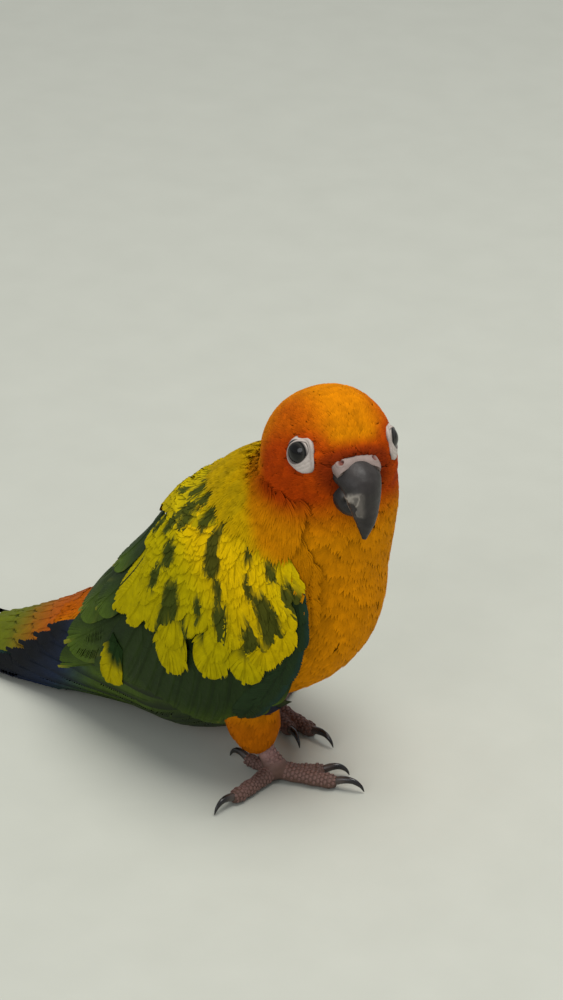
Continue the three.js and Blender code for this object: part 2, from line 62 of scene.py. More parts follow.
# %% Measures and small helpers
GAP = 0.3  # between the trunk and a wing's inside
TAIL_SWING, BEND_START, BEND_LENGTH = 20, -20, 170  # how the tail swings to the bird's right
HEAD_CENTRE = np.array([9, 0.4, 93.4])
HEAD_TURN, HEAD_RAISE, HEAD_LEAN = 29, 8, 3  # degrees
EYE_RADIUS = 4.2
EYE_PLACE = np.array([7.8, 9.6, -0.5])
UPWARDS = np.array([0, 0, 1.0])
NECK_BAND = (72, 84)  # heights between which the body's colours turn into the head's
COAT_BAND = (74, 86)  # heights between which the body's feathers turn into the head's
HEAD_FROM = 78  # height of the lowest feathers that belong to the head


def unit(v):
    return v / np.maximum(np.linalg.norm(v, axis=-1, keepdims=True), 1e-12)


def mix(a, b, k):
    return a + (b - a) * k


def ramp(x, low, high):
    f = np.clip((np.asarray(x, float) - low) / (high - low), 0, 1)
    return f * f * (3 - 2 * f)


def blend(rows):
    """A smooth curve through rows of numbers, read at a share from 0 to 1."""
    rows = np.array(rows, float)
    last = len(rows) - 1

    def at(t):
        t = np.clip(np.asarray(t, float), 0, 1) * last
        i = np.minimum(t.astype(int), last - 1)
        f = (t - i)[..., None]
        p, q, r, s = (rows[np.clip(i + k, 0, last)] for k in (-1, 0, 1, 2))
        rise, next_rise, span = (r - p) / 2, (s - q) / 2, r - q
        return q + f * (rise + f * (3 * span - 2 * rise - next_rise + f * (rise + next_rise - 2 * span)))

    return at


# %% The trunk
# From the tail's end to the neck: x, z, half height, half width
TRUNK = [
    (-126, 4.2, 2.6, 9), (-103, 6.2, 4, 11.5), (-81, 10.8, 6.5, 13), (-60, 18, 10, 15),
    (-40, 28.5, 19.5, 19.5), (-20, 39.5, 27, 22.5), (-5.5, 52.7, 28.8, 21.5),
    (3, 67.3, 22.6, 19.6), (8.4, 78.6, 18.2, 17.6), (10, 89.4, 15, 15.5),
]
RUMP_SHARE = 2.5 / 9  # behind it the tail's feathers make the form
trunk_row = blend(TRUNK)


def swing(x):
    return -TAIL_SWING * (np.minimum(0, (x - BEND_START) / BEND_LENGTH)) ** 2


def spine(t):
    row = trunk_row(t)
    return np.stack([row[..., 0], swing(row[..., 0]), row[..., 1]], -1)


def trunk_frame(t):
    forward = unit(spine(t + 0.004) - spine(t - 0.004))
    left = unit(np.cross(UPWARDS, forward))
    row = trunk_row(t)
    return spine(t), forward, left, np.cross(forward, left), row[..., 2], row[..., 3]


def trunk_point(t, angle, height=0.0):
    """On the trunk's surface or height over it; the angle runs from the back down its right side."""
    t, angle, height = np.broadcast_arrays(*(np.asarray(k, float) for k in (t, angle, height)))
    centre, _, left, up, depth, width = trunk_frame(t)
    a = np.radians(angle)
    across = ((width + height) * np.sin(a))[..., None]
    return centre + up * ((depth + height) * np.cos(a))[..., None] - left * across


print("trunk from", spine(np.array(RUMP_SHARE)).round(1), "to", spine(np.array(1.0)).round(1))

# %% The head
# From the nape to the bill, in the head's own frame: x, half width, top, bottom, widest height
HEAD = [
    (-17, 5.1, 1.6, -8, -3), (-14, 10.3, 5.8, -13, -5), (-8, 14.4, 9.4, -17, -6),
    (0, 15.6, 12.2, -17.5, -7), (7, 14.7, 12, -17, -7), (11.6, 12.2, 8.4, -15, -7),
    (14.2, 9, 3.8, -12.5, -6), (15.5, 5.4, 0, -10.5, -5),
]
head_row = blend(HEAD)
head_turn = np.array(
    Matrix.Rotation(math.radians(-HEAD_TURN), 3, "Z")
    @ Matrix.Rotation(math.radians(-HEAD_RAISE), 3, "Y")
    @ Matrix.Rotation(math.radians(-HEAD_LEAN), 3, "X")
)


def head_world(p):
    return np.asarray(p, float) @ head_turn.T + HEAD_CENTRE


def head_local(q):
    return (np.asarray(q, float) - HEAD_CENTRE) @ head_turn


def head_side(x, z):
    """Half the head's width at x, z of its own frame."""
    shares = np.linspace(0, 1, 401)
    row = head_row(np.interp(x, head_row(shares)[:, 0], shares))
    middle = row[..., 4]
    rise = np.where(z > middle, row[..., 2] - middle, middle - row[..., 3])
    return row[..., 1] * np.sqrt(np.clip(1 - ((z - middle) / rise) ** 2, 0, 1))


print("crown's height, mm:", head_world([0, 0, HEAD[3][2]])[2].round(1))

# %% The bare ring round the eye
RING_MIDDLE = np.array([9.7, -0.1])


def oval(angle):
    """The opening is taller than long and leans forward at its foot."""
    lean = angle + 0.22
    return 1 / np.hypot(np.cos(lean) / 0.84, np.sin(lean) / 1.06)


def ring_reach(angle):
    """How far the ring reaches; it runs out to a point towards the lower bill."""
    corner = 2.1 * np.maximum(0, np.cos(angle + math.radians(54))) ** 6
    return 2.98 * oval(angle) + 0.35 * np.maximum(0, np.cos(angle)) + corner


def ring_share(q):
    """1 at the bare ring's outer edge, less inside; q is in the head's frame."""
    x, z = q[..., 0] - RING_MIDDLE[0], q[..., 2] - RING_MIDDLE[1]
    share = np.hypot(x, z) / ring_reach(np.arctan2(z, x))
    return np.where(np.abs(q[..., 1]) > 6, share, 9.0)


print("ring's reach to the front, mm:", ring_reach(0.0).round(2))

# %% The model's place
FLOOR_EASE = 0.7  # the height below which a point is eased to stay over the floor
eye_low, eye_high = (np.array(corner) * 1000 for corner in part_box("eye_right"))
SHIFT = (eye_low + eye_high) / 2 - head_world(EYE_PLACE * [1, -1, 1])
print("shift to the model's place, mm:", SHIFT.round(3))


def off_floor(points):
    """Ease what would sink into the floor to just above it."""
    z = points[..., 2] + SHIFT[2]
    eased = FLOOR_EASE * np.exp(np.minimum(z - FLOOR_EASE, 0) / FLOOR_EASE)
    points[..., 2] = np.where(z < FLOOR_EASE, eased, z) - SHIFT[2]
    return points


def placed(points):
    """From these millimetres to the model's metres."""
    return (np.asarray(points, float) + SHIFT) / 1000


# %% [markdown]
# ## Camera, floor and light
# The bird was seen from its right front, a little from above, through a long lens. A camera can be
# pushed about until the picture fits, but two angles and a distance bring the same view back each
# time. The floor is a wide pale sheet. One broad soft light hangs overhead and the surroundings
# fill the shadows, because a hard light would draw a black line under every barb.

# %% Camera
PICTURE_HEIGHT, FOCAL_PIXELS, SENSOR = 1000, 3386, 36
VIEW_TURN, VIEW_DOWN = 37, 28.3  # degrees
# From the right foot the lens is this far back, aside and above, in the view's own directions
RIGHT_FOOT = np.array([2, -11.5, 4])
DISTANCE, ASIDE, ABOVE = 836, 1.6, 65.4
turn, down = math.radians(VIEW_TURN), math.radians(VIEW_DOWN)
view_right = np.array([math.cos(turn), math.sin(turn), 0])
ahead = np.array([-math.sin(turn), math.cos(turn), 0])
view_ahead = math.cos(down) * ahead - math.sin(down) * UPWARDS
view_up = math.sin(down) * ahead + math.cos(down) * UPWARDS
camera_place = RIGHT_FOOT - (DISTANCE * view_ahead - ASIDE * view_right - ABOVE * view_up)

camera_data = bpy.data.cameras.new("camera")
camera_data.sensor_fit = "VERTICAL"
camera_data.sensor_height = SENSOR
camera_data.lens = FOCAL_PIXELS / PICTURE_HEIGHT * SENSOR
camera_data.clip_start = 0.05
camera = bpy.data.objects.new("camera", camera_data)
axes = np.stack([view_right, view_up, -view_ahead], 1)
camera.matrix_world = Matrix.Translation(placed(camera_place)) @ Matrix(axes.tolist()).to_4x4()
scene.collection.objects.link(camera)
scene.camera = camera
scene.view_settings.view_transform = "Standard"
print("camera height, m:", round(camera.matrix_world.translation.z, 3))

# %% Light
sky = bpy.data.worlds.new("soft room")
sky.use_nodes = True
sky.node_tree.nodes["Background"].inputs["Color"].default_value = (0.93, 0.96, 1.0, 1)
sky.node_tree.nodes["Background"].inputs["Strength"].default_value = 0.42
scene.world = sky


def soft_light(name, place, aim, size, power, colour):
    data = bpy.data.lights.new(name, "AREA")
    data.shape = "DISK"
    data.size = size
    data.energy = power
    data.color = colour
    lamp = bpy.data.objects.new(name, data)
    lamp.location = place
    lamp.rotation_euler = (Vector(aim) - Vector(place)).to_track_quat("-Z", "Y").to_euler()
    scene.collection.objects.link(lamp)
    print(name, "of", power, "W")


BREAST = (0.05, 0, 0.06)
soft_light("overhead light", (0.25, 0.1, 1.1), BREAST, 0.7, 10, (1, 0.98, 0.94))
soft_light("side light", (0.2, -1.2, 0.7), BREAST, 0.7, 3.4, (0.95, 0.97, 1))

# %% [markdown]
# ## Finishes
# Feather is keratin: matt, with a faint sheen where the barbs catch the light. Horn is the same
# stuff, dense and satin. An image could colour the coat, but it would have to be painted first.
# Here each vertex carries its own tint, worked out from where on the bird it grows, so the skin and
# the feathers share one set of markings.

# %% Tools for materials
def linear(hex_colour):
    value = hex_colour.lstrip("#")
    channels = (int(value[i : i + 2], 16) / 255 for i in (0, 2, 4))
    return np.array([c / 12.92 if c <= 0.04045 else ((c + 0.055) / 1.055) ** 2.4 for c in channels])


def rgba(hex_colour):
    return (*linear(hex_colour), 1)


def per_metre(size):
    """A texture's scale from the real size of its grains in millimetres."""
    return 1000 / size


def add_node(tree, kind, links=None, values=None, **settings):
    made = tree.nodes.new(kind)
    for key, value in settings.items():
        setattr(made, key, value)
    for key, value in (values or {}).items():
        made.inputs[key].default_value = value
    for key, socket in (links or {}).items():
        tree.links.new(socket, made.inputs[key])
    return made


def new_material(name):
    material = bpy.data.materials.new(name)
    material.use_nodes = True
    material.node_tree.nodes.clear()
    return material, material.node_tree


def finish_with(tree, shader):
    add_node(tree, "ShaderNodeOutputMaterial", {"Surface": shader.outputs[0]})


# %% Feather keratin
# Grown in barbs finer than a hair: matt to the eye, and never quite one colour
FLECK_SIZE = 2.222  # single barbs that lie darker or lighter, drawn this coarse to show


def feather_material(name, roughness, gloss):
    material, tree = new_material(name)
    tint = add_node(tree, "ShaderNodeAttribute", attribute_name="Tint", attribute_type="GEOMETRY")
    place = add_node(tree, "ShaderNodeTexCoord")
    fleck = add_node(
        tree, "ShaderNodeTexNoise", {"Vector": place.outputs["Object"]},
        {"Scale": per_metre(FLECK_SIZE), "Detail": 3, "Roughness": 0.6},
    )
    shade = add_node(
        tree, "ShaderNodeMapRange", {"Value": fleck.outputs["Fac"]},
        {"From Min": 0.3, "From Max": 0.7, "To Min": 0.84, "To Max": 1.1},
    )
    colour = add_node(
        tree, "ShaderNodeVectorMath", {0: tint.outputs["Color"], "Scale": shade.outputs["Result"]},
        operation="SCALE",
    )
    shader = add_node(
        tree, "ShaderNodeBsdfPrincipled", {"Base Color": colour.outputs["Vector"]},
        {"Roughness": roughness, "Specular IOR Level": gloss},
    )
    finish_with(tree, shader)
    print("finish:", name)
    return material


down_feather = feather_material("soft body feather", 0.8, 0.03)
vane_feather = feather_material("smooth flight feather", 0.6, 0.12)

# %% [markdown]
# ## Markings
# A young bird is gold on the crown and neck, with a deep orange face that darkens round the base
# of the bill. The breast is gold and the belly more yellow. Vertex colours can be brushed on by
# hand; rules that read a point's place in the head's frame or along the trunk colour any mesh that
# is laid there, and can be tuned by one number at a time.

# %% Body colours
CROWN_GOLD = linear("#D07C03")
NAPE_GOLD = linear("#DE8A03")
FACE_ORANGE = linear("#B24404")
CHEEK_ORANGE = linear("#B03E05")
LORE_RED = linear("#74250A")
EYE_RED = linear("#A03209")
THROAT_GOLD = linear("#C26203")
BREAST_GOLD = linear("#DC8A03")
# The belly's yellow is its own; its darker tone is painted shade on the underside
SHADED_BELLY_YELLOW = linear("#B98104")
RUMP_ORANGE = linear("#B05606")
MANTLE_YELLOW = linear("#B5A008")
THIGH_ORANGE = linear("#AC5704")

# %% Where a point lies on the trunk
AT_ONCE = 20000  # points compared in one go, to spare memory


def nearest_share(points):
    shares = np.linspace(0.2, 1, 161)
    spots = spine(shares)
    best = np.empty(len(points))
    for start in range(0, len(points), AT_ONCE):
        part = points[start : start + AT_ONCE]
        gap = ((part[:, None, :] - spots[None]) ** 2).sum(-1)
        best[start : start + AT_ONCE] = shares[gap.argmin(1)]
    return best


def trunk_angle(points, share):
    centre, _, left, up, depth, width = trunk_frame(share)
    away = points - centre
    return np.degrees(np.arctan2(-(away * left).sum(-1) / width, (away * up).sum(-1) / depth))


# %% The body's markings
def filled(colour, like):
    """One colour at every place of an array."""
    return np.broadcast_to(colour, np.shape(like) + (3,)) + 0.0


def over(base, colour, amount):
    return base + (colour - base) * np.asarray(amount)[..., None]


def body_tint(points):
    share = nearest_share(points)
    angle = np.abs(trunk_angle(points, share))
    q = head_local(points)
    x, y, z = q[:, 0], np.abs(q[:, 1]), q[:, 2]
    tint = filled(BREAST_GOLD, share)
    tint = over(tint, SHADED_BELLY_YELLOW, ramp(share, 0.62, 0.45) * ramp(angle, 60, 110))
    tint = over(tint, RUMP_ORANGE, ramp(angle, 70, 35) * ramp(share, 0.8, 0.68))
    in_head = ramp(points[:, 2], *NECK_BAND)
    tint = over(tint, NAPE_GOLD, in_head)
    tint = over(tint, CROWN_GOLD, in_head * ramp(z, 0, 7))
    # Orange round the crown's sides and back, gold left on its middle
    crown_side = ramp(y, 3, 11) * ramp(z, -14, -4) * ramp(x, -14, 0)
    tint = over(tint, CHEEK_ORANGE, in_head * crown_side * 0.7)
    tint = over(tint, THROAT_GOLD, in_head * ramp(z, -10, -16) * ramp(x, 0, 8))
    # The cheek and the band round the eye: deep orange
    cheek = np.hypot((x - 7) / 13, (z + 6) / 10)
    tint = over(tint, CHEEK_ORANGE, ramp(cheek, 1.25, 0.6) * ramp(y, 2, 8) * in_head)
    tint = over(tint, EYE_RED, ramp(ring_share(q), 2.0, 1.1) * in_head * 0.6)
    # The forehead's front and the lores: darkest against the bill
    low = (z + 3) * np.where(z > -3, 1.5, 0.8)
    bill = np.sqrt((x - 15.5) ** 2 + (y * 0.6) ** 2 + low**2)
    tint = over(tint, FACE_ORANGE, ramp(bill, 11.5, 6) * in_head)
    tint = over(tint, LORE_RED, ramp(bill, 8, 4.8) * in_head * 0.85)
    # Orange thighs
    thigh = ramp(points[:, 2], 27, 15) * ramp(np.abs(points[:, 1]), 3, 8)
    return over(tint, THIGH_ORANGE, thigh * ramp(points[:, 0], -38, -31) * 0.85)


# %% [markdown]
# ## Mesh tools
# Hair curves would give a coat quickly, but the export wants solid meshes, so thousands of feathers
# are made at once as arrays of numbers. A barb lock is a thin three-sided strip that narrows to a
# point, sixteen triangles in all, and each feather is a fan or a comb of such locks. Every feather
# also gets a small patch of its own on a UV map named OFBake.

# %% From arrays to a piece
def mesh_piece(name, points, faces, material, tint, bake=None, normals=None):
    points, faces = placed(points), np.asarray(faces, np.int32)
    mesh = bpy.data.meshes.new(name)
    mesh.vertices.add(len(points))
    mesh.vertices.foreach_set("co", points.astype(np.float32).ravel())
    mesh.loops.add(faces.size)
    mesh.loops.foreach_set("vertex_index", faces.ravel())
    mesh.polygons.add(len(faces))
    mesh.polygons.foreach_set("loop_start", np.arange(0, faces.size, faces.shape[1], dtype=np.int32))
    mesh.polygons.foreach_set("use_smooth", np.ones(len(faces), bool))
    mesh.update(calc_edges=True)
    colours = np.concatenate([tint, np.ones((len(tint), 1))], 1).astype(np.float32)
    mesh.color_attributes.new(name="Tint", type="FLOAT_COLOR", domain="POINT")
    mesh.color_attributes["Tint"].data.foreach_set("color", colours.ravel())
    if bake is not None:
        mesh.uv_layers.new(name="OFBake")
        mesh.uv_layers["OFBake"].data.foreach_set("uv", bake[faces.ravel()].astype(np.float32).ravel())
    if normals is not None:
        mesh.normals_split_custom_set_from_vertices(normals.tolist())
    mesh.materials.append(material)
    piece = bpy.data.objects.new(name, mesh)
    scene.collection.objects.link(piece)
    print(f"{name}: {len(faces)} triangles")
    return piece


# %% A lock of barbs
def strip_faces():
    faces = [(0, 1, 2)]
    for i in (0, 3):
        left, right, top = i, i + 1, i + 2
        for a, b in ((left, right), (right, top), (top, left)):
            faces += [(a, a + 3, b + 3), (a, b + 3, b)]
    return np.array(faces + [(6, 9, 7), (7, 9, 8), (8, 9, 6)])


STRIP = strip_faces()


def strips(lines, up, half, ridge):
    """Closed strips along lines (n, 4, 3); half widths and ridge heights are (n, 3)."""
    count = len(lines)
    run = lines[:, 1:] - lines[:, :-1]
    rise = up[:, :3]
    right = unit(np.cross(run, rise))
    top = unit(np.cross(right, run))
    base = lines[:, :3] - top * ridge[..., None] * 0.4
    edge = right * half[..., None]
    rings = np.stack([base - edge, base + edge, lines[:, :3] + top * ridge[..., None]], 2)
    points = np.concatenate([rings.reshape(count, 9, 3), lines[:, 3:]], 1)
    # The light falls on a lock as on the soft surface that it belongs to
    lean = right * 0.5
    soft = np.stack([rise - lean, rise + lean, rise], 2).reshape(count, 9, 3)
    normals = unit(np.concatenate([soft, up[:, 3:4]], 1)).reshape(-1, 3)
    faces = (STRIP[None] + 10 * np.arange(count)[:, None, None]).reshape(-1, 3)
    return points.reshape(-1, 3), faces, normals


# %% A coat of locks
STATION = np.array([0, 0, 0, 1, 1, 1, 2, 2, 2, 3])
SIDES = [-0.5, 0.5, 0] * 3 + [0]
STRIP_BAKE = np.array([(s / 3 - 0.5, side * (1 - s / 3)) for s, side in zip(STATION, SIDES)])
BAKE_PATCH = 0.003  # the side of one feather's patch on the OFBake map


class Coat:
    """Gathers strips, with their tints and bake patches, for one or more pieces."""

    def __init__(self):
        self.points, self.faces, self.normals, self.tints, self.bakes = [], [], [], [], []
        self.count = 0

    def add(self, points, faces, normals, tint, bake):
        self.faces.append(faces + self.count)
        self.points.append(points)
        self.normals.append(normals)
        self.tints.append(tint)
        self.bakes.append(bake)
        self.count += len(points)

    def add_strips(self, lines, up, half, ridge, tint, patch):
        """tint is (n, 4, 3), one colour a station; patch is (n, 2), the root's place on the map."""
        points, faces, normals = strips(lines, up, half, ridge)
        colours = tint[:, STATION].reshape(-1, 3)
        bake = (patch[:, None] + STRIP_BAKE[None] * BAKE_PATCH).reshape(-1, 2)
        self.add(points, faces, normals, colours, bake)

    def piece(self, name, material):
        points, faces = np.concatenate(self.points), np.concatenate(self.faces)
        tints, bakes = np.concatenate(self.tints), np.concatenate(self.bakes)
        return mesh_piece(name, points, faces, material, tints, bakes, np.concatenate(self.normals))


# %% [markdown]
# ## The form under the coat
# The outside of the plumage is one smooth body: trunk, head and thighs flowing into each other.
# Metaballs would flow too, but wouldn't keep to the measures. So the shapes are lofted, fused by a
# voxel remesh, as a sculptor presses clay together, and smoothed. The skin is that form drawn in by
# the depth of the coat.

# %% Loft and fuse
def loft_faces(rows, around):
    faces = []
    for i in range(rows - 1):
        for j in range(around):
            a, b = i * around + j, i * around + (j + 1) % around
            faces.append((a, b, b + around, a + around))
    return faces


def loft_mesh(name, rings):
    rows, around = rings.shape[:2]
    points = np.concatenate([rings.reshape(-1, 3), rings[0].mean(0)[None], rings[-1].mean(0)[None]])
    faces = loft_faces(rows, around)
    first, last = rows * around, rows * around + 1
    for j in range(around):
        k = (j + 1) % around
        faces.append((k, j, first))
        faces.append(((rows - 1) * around + j, (rows - 1) * around + k, last))
    mesh = bpy.data.meshes.new(name)
    mesh.from_pydata(placed(points).tolist(), [], faces)
    return bpy.data.objects.new(name, mesh)


def trunk_rings(steps=60, around=72):
    t = np.linspace(RUMP_SHARE + 0.01, 0.999, steps)[:, None]
    return trunk_point(t, np.linspace(0, 360, around, endpoint=False)[None])


def head_rings(steps=48, around=72):
    row = head_row(np.linspace(0, 1, steps))[:, None]
    x, width, top, bottom, middle = (row[..., k] for k in range(5))
    a = np.linspace(0, 2 * np.pi, around, endpoint=False)[None]
    rise = np.where(np.sin(a) > 0, top - middle, middle - bottom)
    ring = np.stack([x + 0 * a, width * np.cos(a), middle + rise * np.sin(a)], -1)
    return head_world(ring)


def tube_rings(rows, steps=24, around=24):
    """Rings along a limb; each row is its middle's x, y, z, half width and half height."""
    row = blend(rows)
    t = np.linspace(0, 1, steps)
    centre = row(t)[:, :3]
    forward = unit(row(np.minimum(1, t + 0.01))[:, :3] - row(np.maximum(0, t - 0.01))[:, :3])
    steep = np.abs(forward[:, 2:]) > 0.95
    side = unit(np.where(steep, np.array([0, 1.0, 0]), np.cross(UPWARDS, forward)))
    up = unit(np.cross(forward, side))
    a = np.linspace(0, 2 * np.pi, around, endpoint=False)
    half = row(t)[:, 3:5]
    out = side[:, None] * (half[:, :1] * np.cos(a))[..., None]
    return centre[:, None] + out + up[:, None] * (half[:, 1:2] * np.sin(a))[..., None]


# %% Thighs
# Where the toes meet on the floor, and how far the foot turns outwards, degrees
FEET = {
    "right": {"side": -1, "ball": (2, -11.5), "turn": -24},
    "left": {"side": 1, "ball": (-17, 12), "turn": -14},
}


def thigh_rows(foot):
    x, y = foot["ball"]
    side = foot["side"]
    return [
        (x - 6, side * 12, 34, 7.5, 9), (x - 7, side * 12.5, 22, 7.2, 8.2),
        (x - 5.2, y + side, 12.5, 6.2, 6.4), (x - 4, y, 7.8, 3.5, 3.3),
    ]


# %% Fuse the shapes
BODY_VOXEL = 0.001  # metres


def finished_mesh(maker):
    """What an object's modifiers make of it, as a plain mesh; the object goes."""
    depsgraph = bpy.context.evaluated_depsgraph_get()
    mesh = bpy.data.meshes.new_from_object(maker.evaluated_get(depsgraph))
    bpy.data.objects.remove(maker)
    return mesh


def fused(parts, voxel):
    for part in parts:
        scene.collection.objects.link(part)
    whole = parts[0]
    with bpy.context.temp_override(active_object=whole, selected_editable_objects=parts):
        bpy.ops.object.join()
    whole.modifiers.new("fuse", "REMESH").voxel_size = voxel
    smooth = whole.modifiers.new("smooth", "SMOOTH")
    smooth.factor, smooth.iterations = 0.5, 8
    return finished_mesh(whole)


def mesh_arrays(mesh):
    points = np.empty(len(mesh.vertices) * 3, np.float32)
    mesh.vertices.foreach_get("co", points)
    mesh.calc_loop_triangles()
    faces = np.empty(len(mesh.loop_triangles) * 3, np.int32)
    mesh.loop_triangles.foreach_get("vertices", faces)
    return points.reshape(-1, 3).astype(float) * 1000 - SHIFT, faces.reshape(-1, 3)


form_parts = [loft_mesh("trunk form", trunk_rings()), loft_mesh("head form", head_rings())]
form_parts += [loft_mesh("thigh form", tube_rings(thigh_rows(foot))) for foot in FEET.values()]
# The forehead's feathers stand up against the root of the bill
BROW = [(13.4, -5.9, -6), (14.5, -4.9, -2.3), (15.1, -2.6, -0.7), (15.3, 0, -0.3)]
brow = [(*head_world(k), 1.35, 1.35) for k in BROW + [(x, -y, z) for x, y, z in BROW[-2::-1]]]
form_parts.append(loft_mesh("brow form", tube_rings(brow)))
form_points, form_faces = mesh_arrays(fused(form_parts, BODY_VOXEL))
print("form:", len(form_points), "points,", np.ptp(form_points, 0).round(1), "mm in size")


# %% Lay points on the form
def corner_normals(points, faces):
    a, b, c = (points[faces[:, k]] for k in range(3))
    face = np.cross(b - a, c - a)
    out = np.zeros_like(points)
    for k in range(3):
        np.add.at(out, faces[:, k], face)
    return unit(out)


form_normals = corner_normals(form_points, form_faces)
form_tree = BVHTree.FromPolygons(form_points.tolist(), form_faces.tolist())


def onto_form(points):
    """The nearest point of the form, and the smooth normal there."""
    flat = points.reshape(-1, 3)
    where, face = np.empty_like(flat), np.empty(len(flat), int)
    for i, p in enumerate(flat.tolist()):
        spot, _, index, _ = form_tree.find_nearest(p)
        where[i] = spot
        face[i] = index
    corners = form_faces[face]
    weight = 1 / (np.linalg.norm(form_points[corners] - where[:, None], axis=-1) + 1e-6)
    normal = unit((form_normals[corners] * weight[..., None]).sum(1))
    return where.reshape(points.shape), normal.reshape(points.shape)


# %% Skin
SKIN_DEPTH_BODY, SKIN_DEPTH_HEAD = 0.8, 0.45
SKIN_PAINTED_SHADE = 0.92  # painted shade: a little darker than the coat over it, as it lies in the coat's shadow
depth = mix(SKIN_DEPTH_BODY, SKIN_DEPTH_HEAD, ramp(form_points[:, 2], *NECK_BAND))
skin_points = form_points - form_normals * depth[:, None]
skin_tint = body_tint(form_points) * SKIN_PAINTED_SHADE
skin = mesh_piece("skin", skin_points, form_faces, down_feather, skin_tint)
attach(skin, "root")
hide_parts("torso", "neck", "head", "thigh_right", "thigh_left")

# %% [markdown]
# ## Body feathers
# Small contour feathers cover the body like tiles. A particle system scatters them in clumps; here
# their roots are spread evenly over the form by throwing darts and keeping those that land clear of
# the rest. Each lies back along the body, from the bill over the crown and down the trunk, and is a
# fan of barb locks whose roots are sunk and whose tips come out to the form's surface.

# %% Spread the roots
CELL = 3.2  # of the grid that finds a dart's neighbours; wider than the widest spacing


def spread_roots(spacing_at, tries=70000):
    a, b, c = (form_points[form_faces[:, k]] for k in range(3))
    area = np.linalg.norm(np.cross(b - a, c - a), axis=-1)
    spacing = spacing_at((a + b + c) / 3)
    weight = np.where(spacing > 0, area / np.maximum(spacing, 0.1) ** 2, 0)
    pick = rng.choice(len(area), tries, p=weight / weight.sum())
    u, v = rng.random((2, tries))
    flip = u + v > 1
    u[flip], v[flip] = 1 - u[flip], 1 - v[flip]
    points = a[pick] + (b - a)[pick] * u[:, None] + (c - a)[pick] * v[:, None]
    gap = spacing[pick]
    keys = np.floor(points / CELL).astype(int)
    kept, grid = [], {}
    around = [(i, j, k) for i in (-1, 0, 1) for j in (-1, 0, 1) for k in (-1, 0, 1)]
    for i, (point, near) in enumerate(zip(points.tolist(), gap.tolist())):
        kx, ky, kz = keys[i]
        clear = True
        for dx, dy, dz in around:
            for other in grid.get((kx + dx, ky + dy, kz + dz), ()):
                q = kept[other]
                gap_squared = (point[0] - q[0]) ** 2 + (point[1] - q[1]) ** 2 + (point[2] - q[2]) ** 2
                if gap_squared < near * near:
                    clear = False
                    break
            if not clear:
                break
        if clear:
            grid.setdefault((kx, ky, kz), []).append(len(kept))
            kept.append(point)
    return np.array(kept)


# %% Where they grow and which way they lie
BILL_ROOT, BILL_ROOT_SIZE = np.array([15.5, 0, -7]), np.array([4.2, 6.2, 6.5])


def face_distance(points):
    """Head-frame places, and the shares of the way out from the eyes and from the bill's base."""
    q = head_local(points)
    eye = ring_share(q)
    from_bill = (q - BILL_ROOT) / BILL_ROOT_SIZE
    return q, eye, np.sqrt((from_bill**2).sum(-1))


def feather_spacing(points):
    share = nearest_share(points)
    angle = np.abs(trunk_angle(points, share))
    q, eye, bill = face_distance(points)
    head = ramp(points[:, 2], *COAT_BAND)
    front = ramp(q[:, 0], 0, 12) * head
    spacing = mix(2.7, 1.55, head)
    spacing = mix(spacing, 1.15, front)
    covered = (share < 0.72) & (angle > 55) & (angle < 102) & (points[:, 2] > 22)
    hidden = ((bill < 0.9) | (eye < 1.0)) & (head > 0.5)
    ankle = points[:, 2] < 6.5
    tail_end = share < RUMP_SHARE + 0.02
    return np.where(covered | hidden | ankle | tail_end, 0, spacing)


def flow_at(points, normals):
    share = nearest_share(points)
    _, forward, *_ = trunk_frame(share)
    back = -forward
    q = head_local(points)
    from_bill = (q - np.array([17, 0, -4.5])) @ head_turn.T
    head = ramp(points[:, 2], 74, 88)[:, None]
    flow = unit(back * (1 - head) + unit(from_bill) * head)
    leg = (ramp(points[:, 2], 26, 14) * ramp(np.abs(points[:, 1]), 3, 8))[:, None]
    flow = unit(flow * (1 - leg) + np.array([0.1, 0, -1.0]) * leg)
    flow = flow + 0.12 * rng.standard_normal(flow.shape)
    return unit(flow - normals * (flow * normals).sum(-1, keepdims=True))


roots = spread_roots(feather_spacing)
roots, root_normals = onto_form(roots)
spacing = feather_spacing(roots)
roots, root_normals, spacing = (k[spacing > 0] for k in (roots, root_normals, spacing))
flow = flow_at(roots, root_normals)
print("body feathers:", len(roots))

# %% Fans
FAN_BARBS, FAN_SPREAD = 8, 76  # locks in a fan, and degrees to each side


def fan_lines(length, width):
    """Along and across places (n, barbs, 4, 2) of the locks of flat fans."""
    count, barbs = len(length), FAN_BARBS
    fan = np.radians(np.linspace(-FAN_SPREAD, FAN_SPREAD, barbs))[None]
    fan = fan + rng.normal(0, 0.05, (count, barbs))
    reach = length[:, None] * rng.uniform(0.88, 1.08, (count, barbs))
    half = width[:, None] / 2 * np.sin(fan)
    start = np.stack([reach * (0.03 + 0.33 * np.cos(fan)), 0 * fan], -1)
    end = np.stack([reach * (0.58 + 0.42 * np.cos(fan)), half], -1)
    share = np.array([0, 0.35, 0.7, 1])
    local = start[:, :, None] + (end - start)[:, :, None] * share[None, None, :, None]
    local[..., 1] += np.array([0, 0.12, 0.1, 0]) * half[..., None]
    return local


def add_fans(coat, lines, up, width, tint, patch):
    """lines, up and tint are (n, barbs, 4, 3)."""
    count, barbs = lines.shape[:2]
    wide = (width / barbs)[:, None, None] * np.array([0.8, 1.05, 0.75])[None, None]
    half = np.broadcast_to(wide, (count, barbs, 3)).reshape(-1, 3)
    # Painted shade and light: each lock is darker at its root, where it lies under the next feathers,
    # and lighter at its tip
    shade_and_light_tint = tint * np.array([0.82, 0.92, 1.0, 1.05])[None, None, :, None]
    shade_and_light_tint = (shade_and_light_tint * rng.uniform(0.94, 1.06, (count, barbs, 1, 1))).reshape(-1, 4, 3)
    spot = np.broadcast_to(patch[:, None], (count, barbs, 2)).reshape(-1, 2)
    lines, up = lines.reshape(-1, 4, 3), up.reshape(-1, 4, 3)
    coat.add_strips(lines, up, half, half * 0.12 + 0.01, shade_and_light_tint, spot)


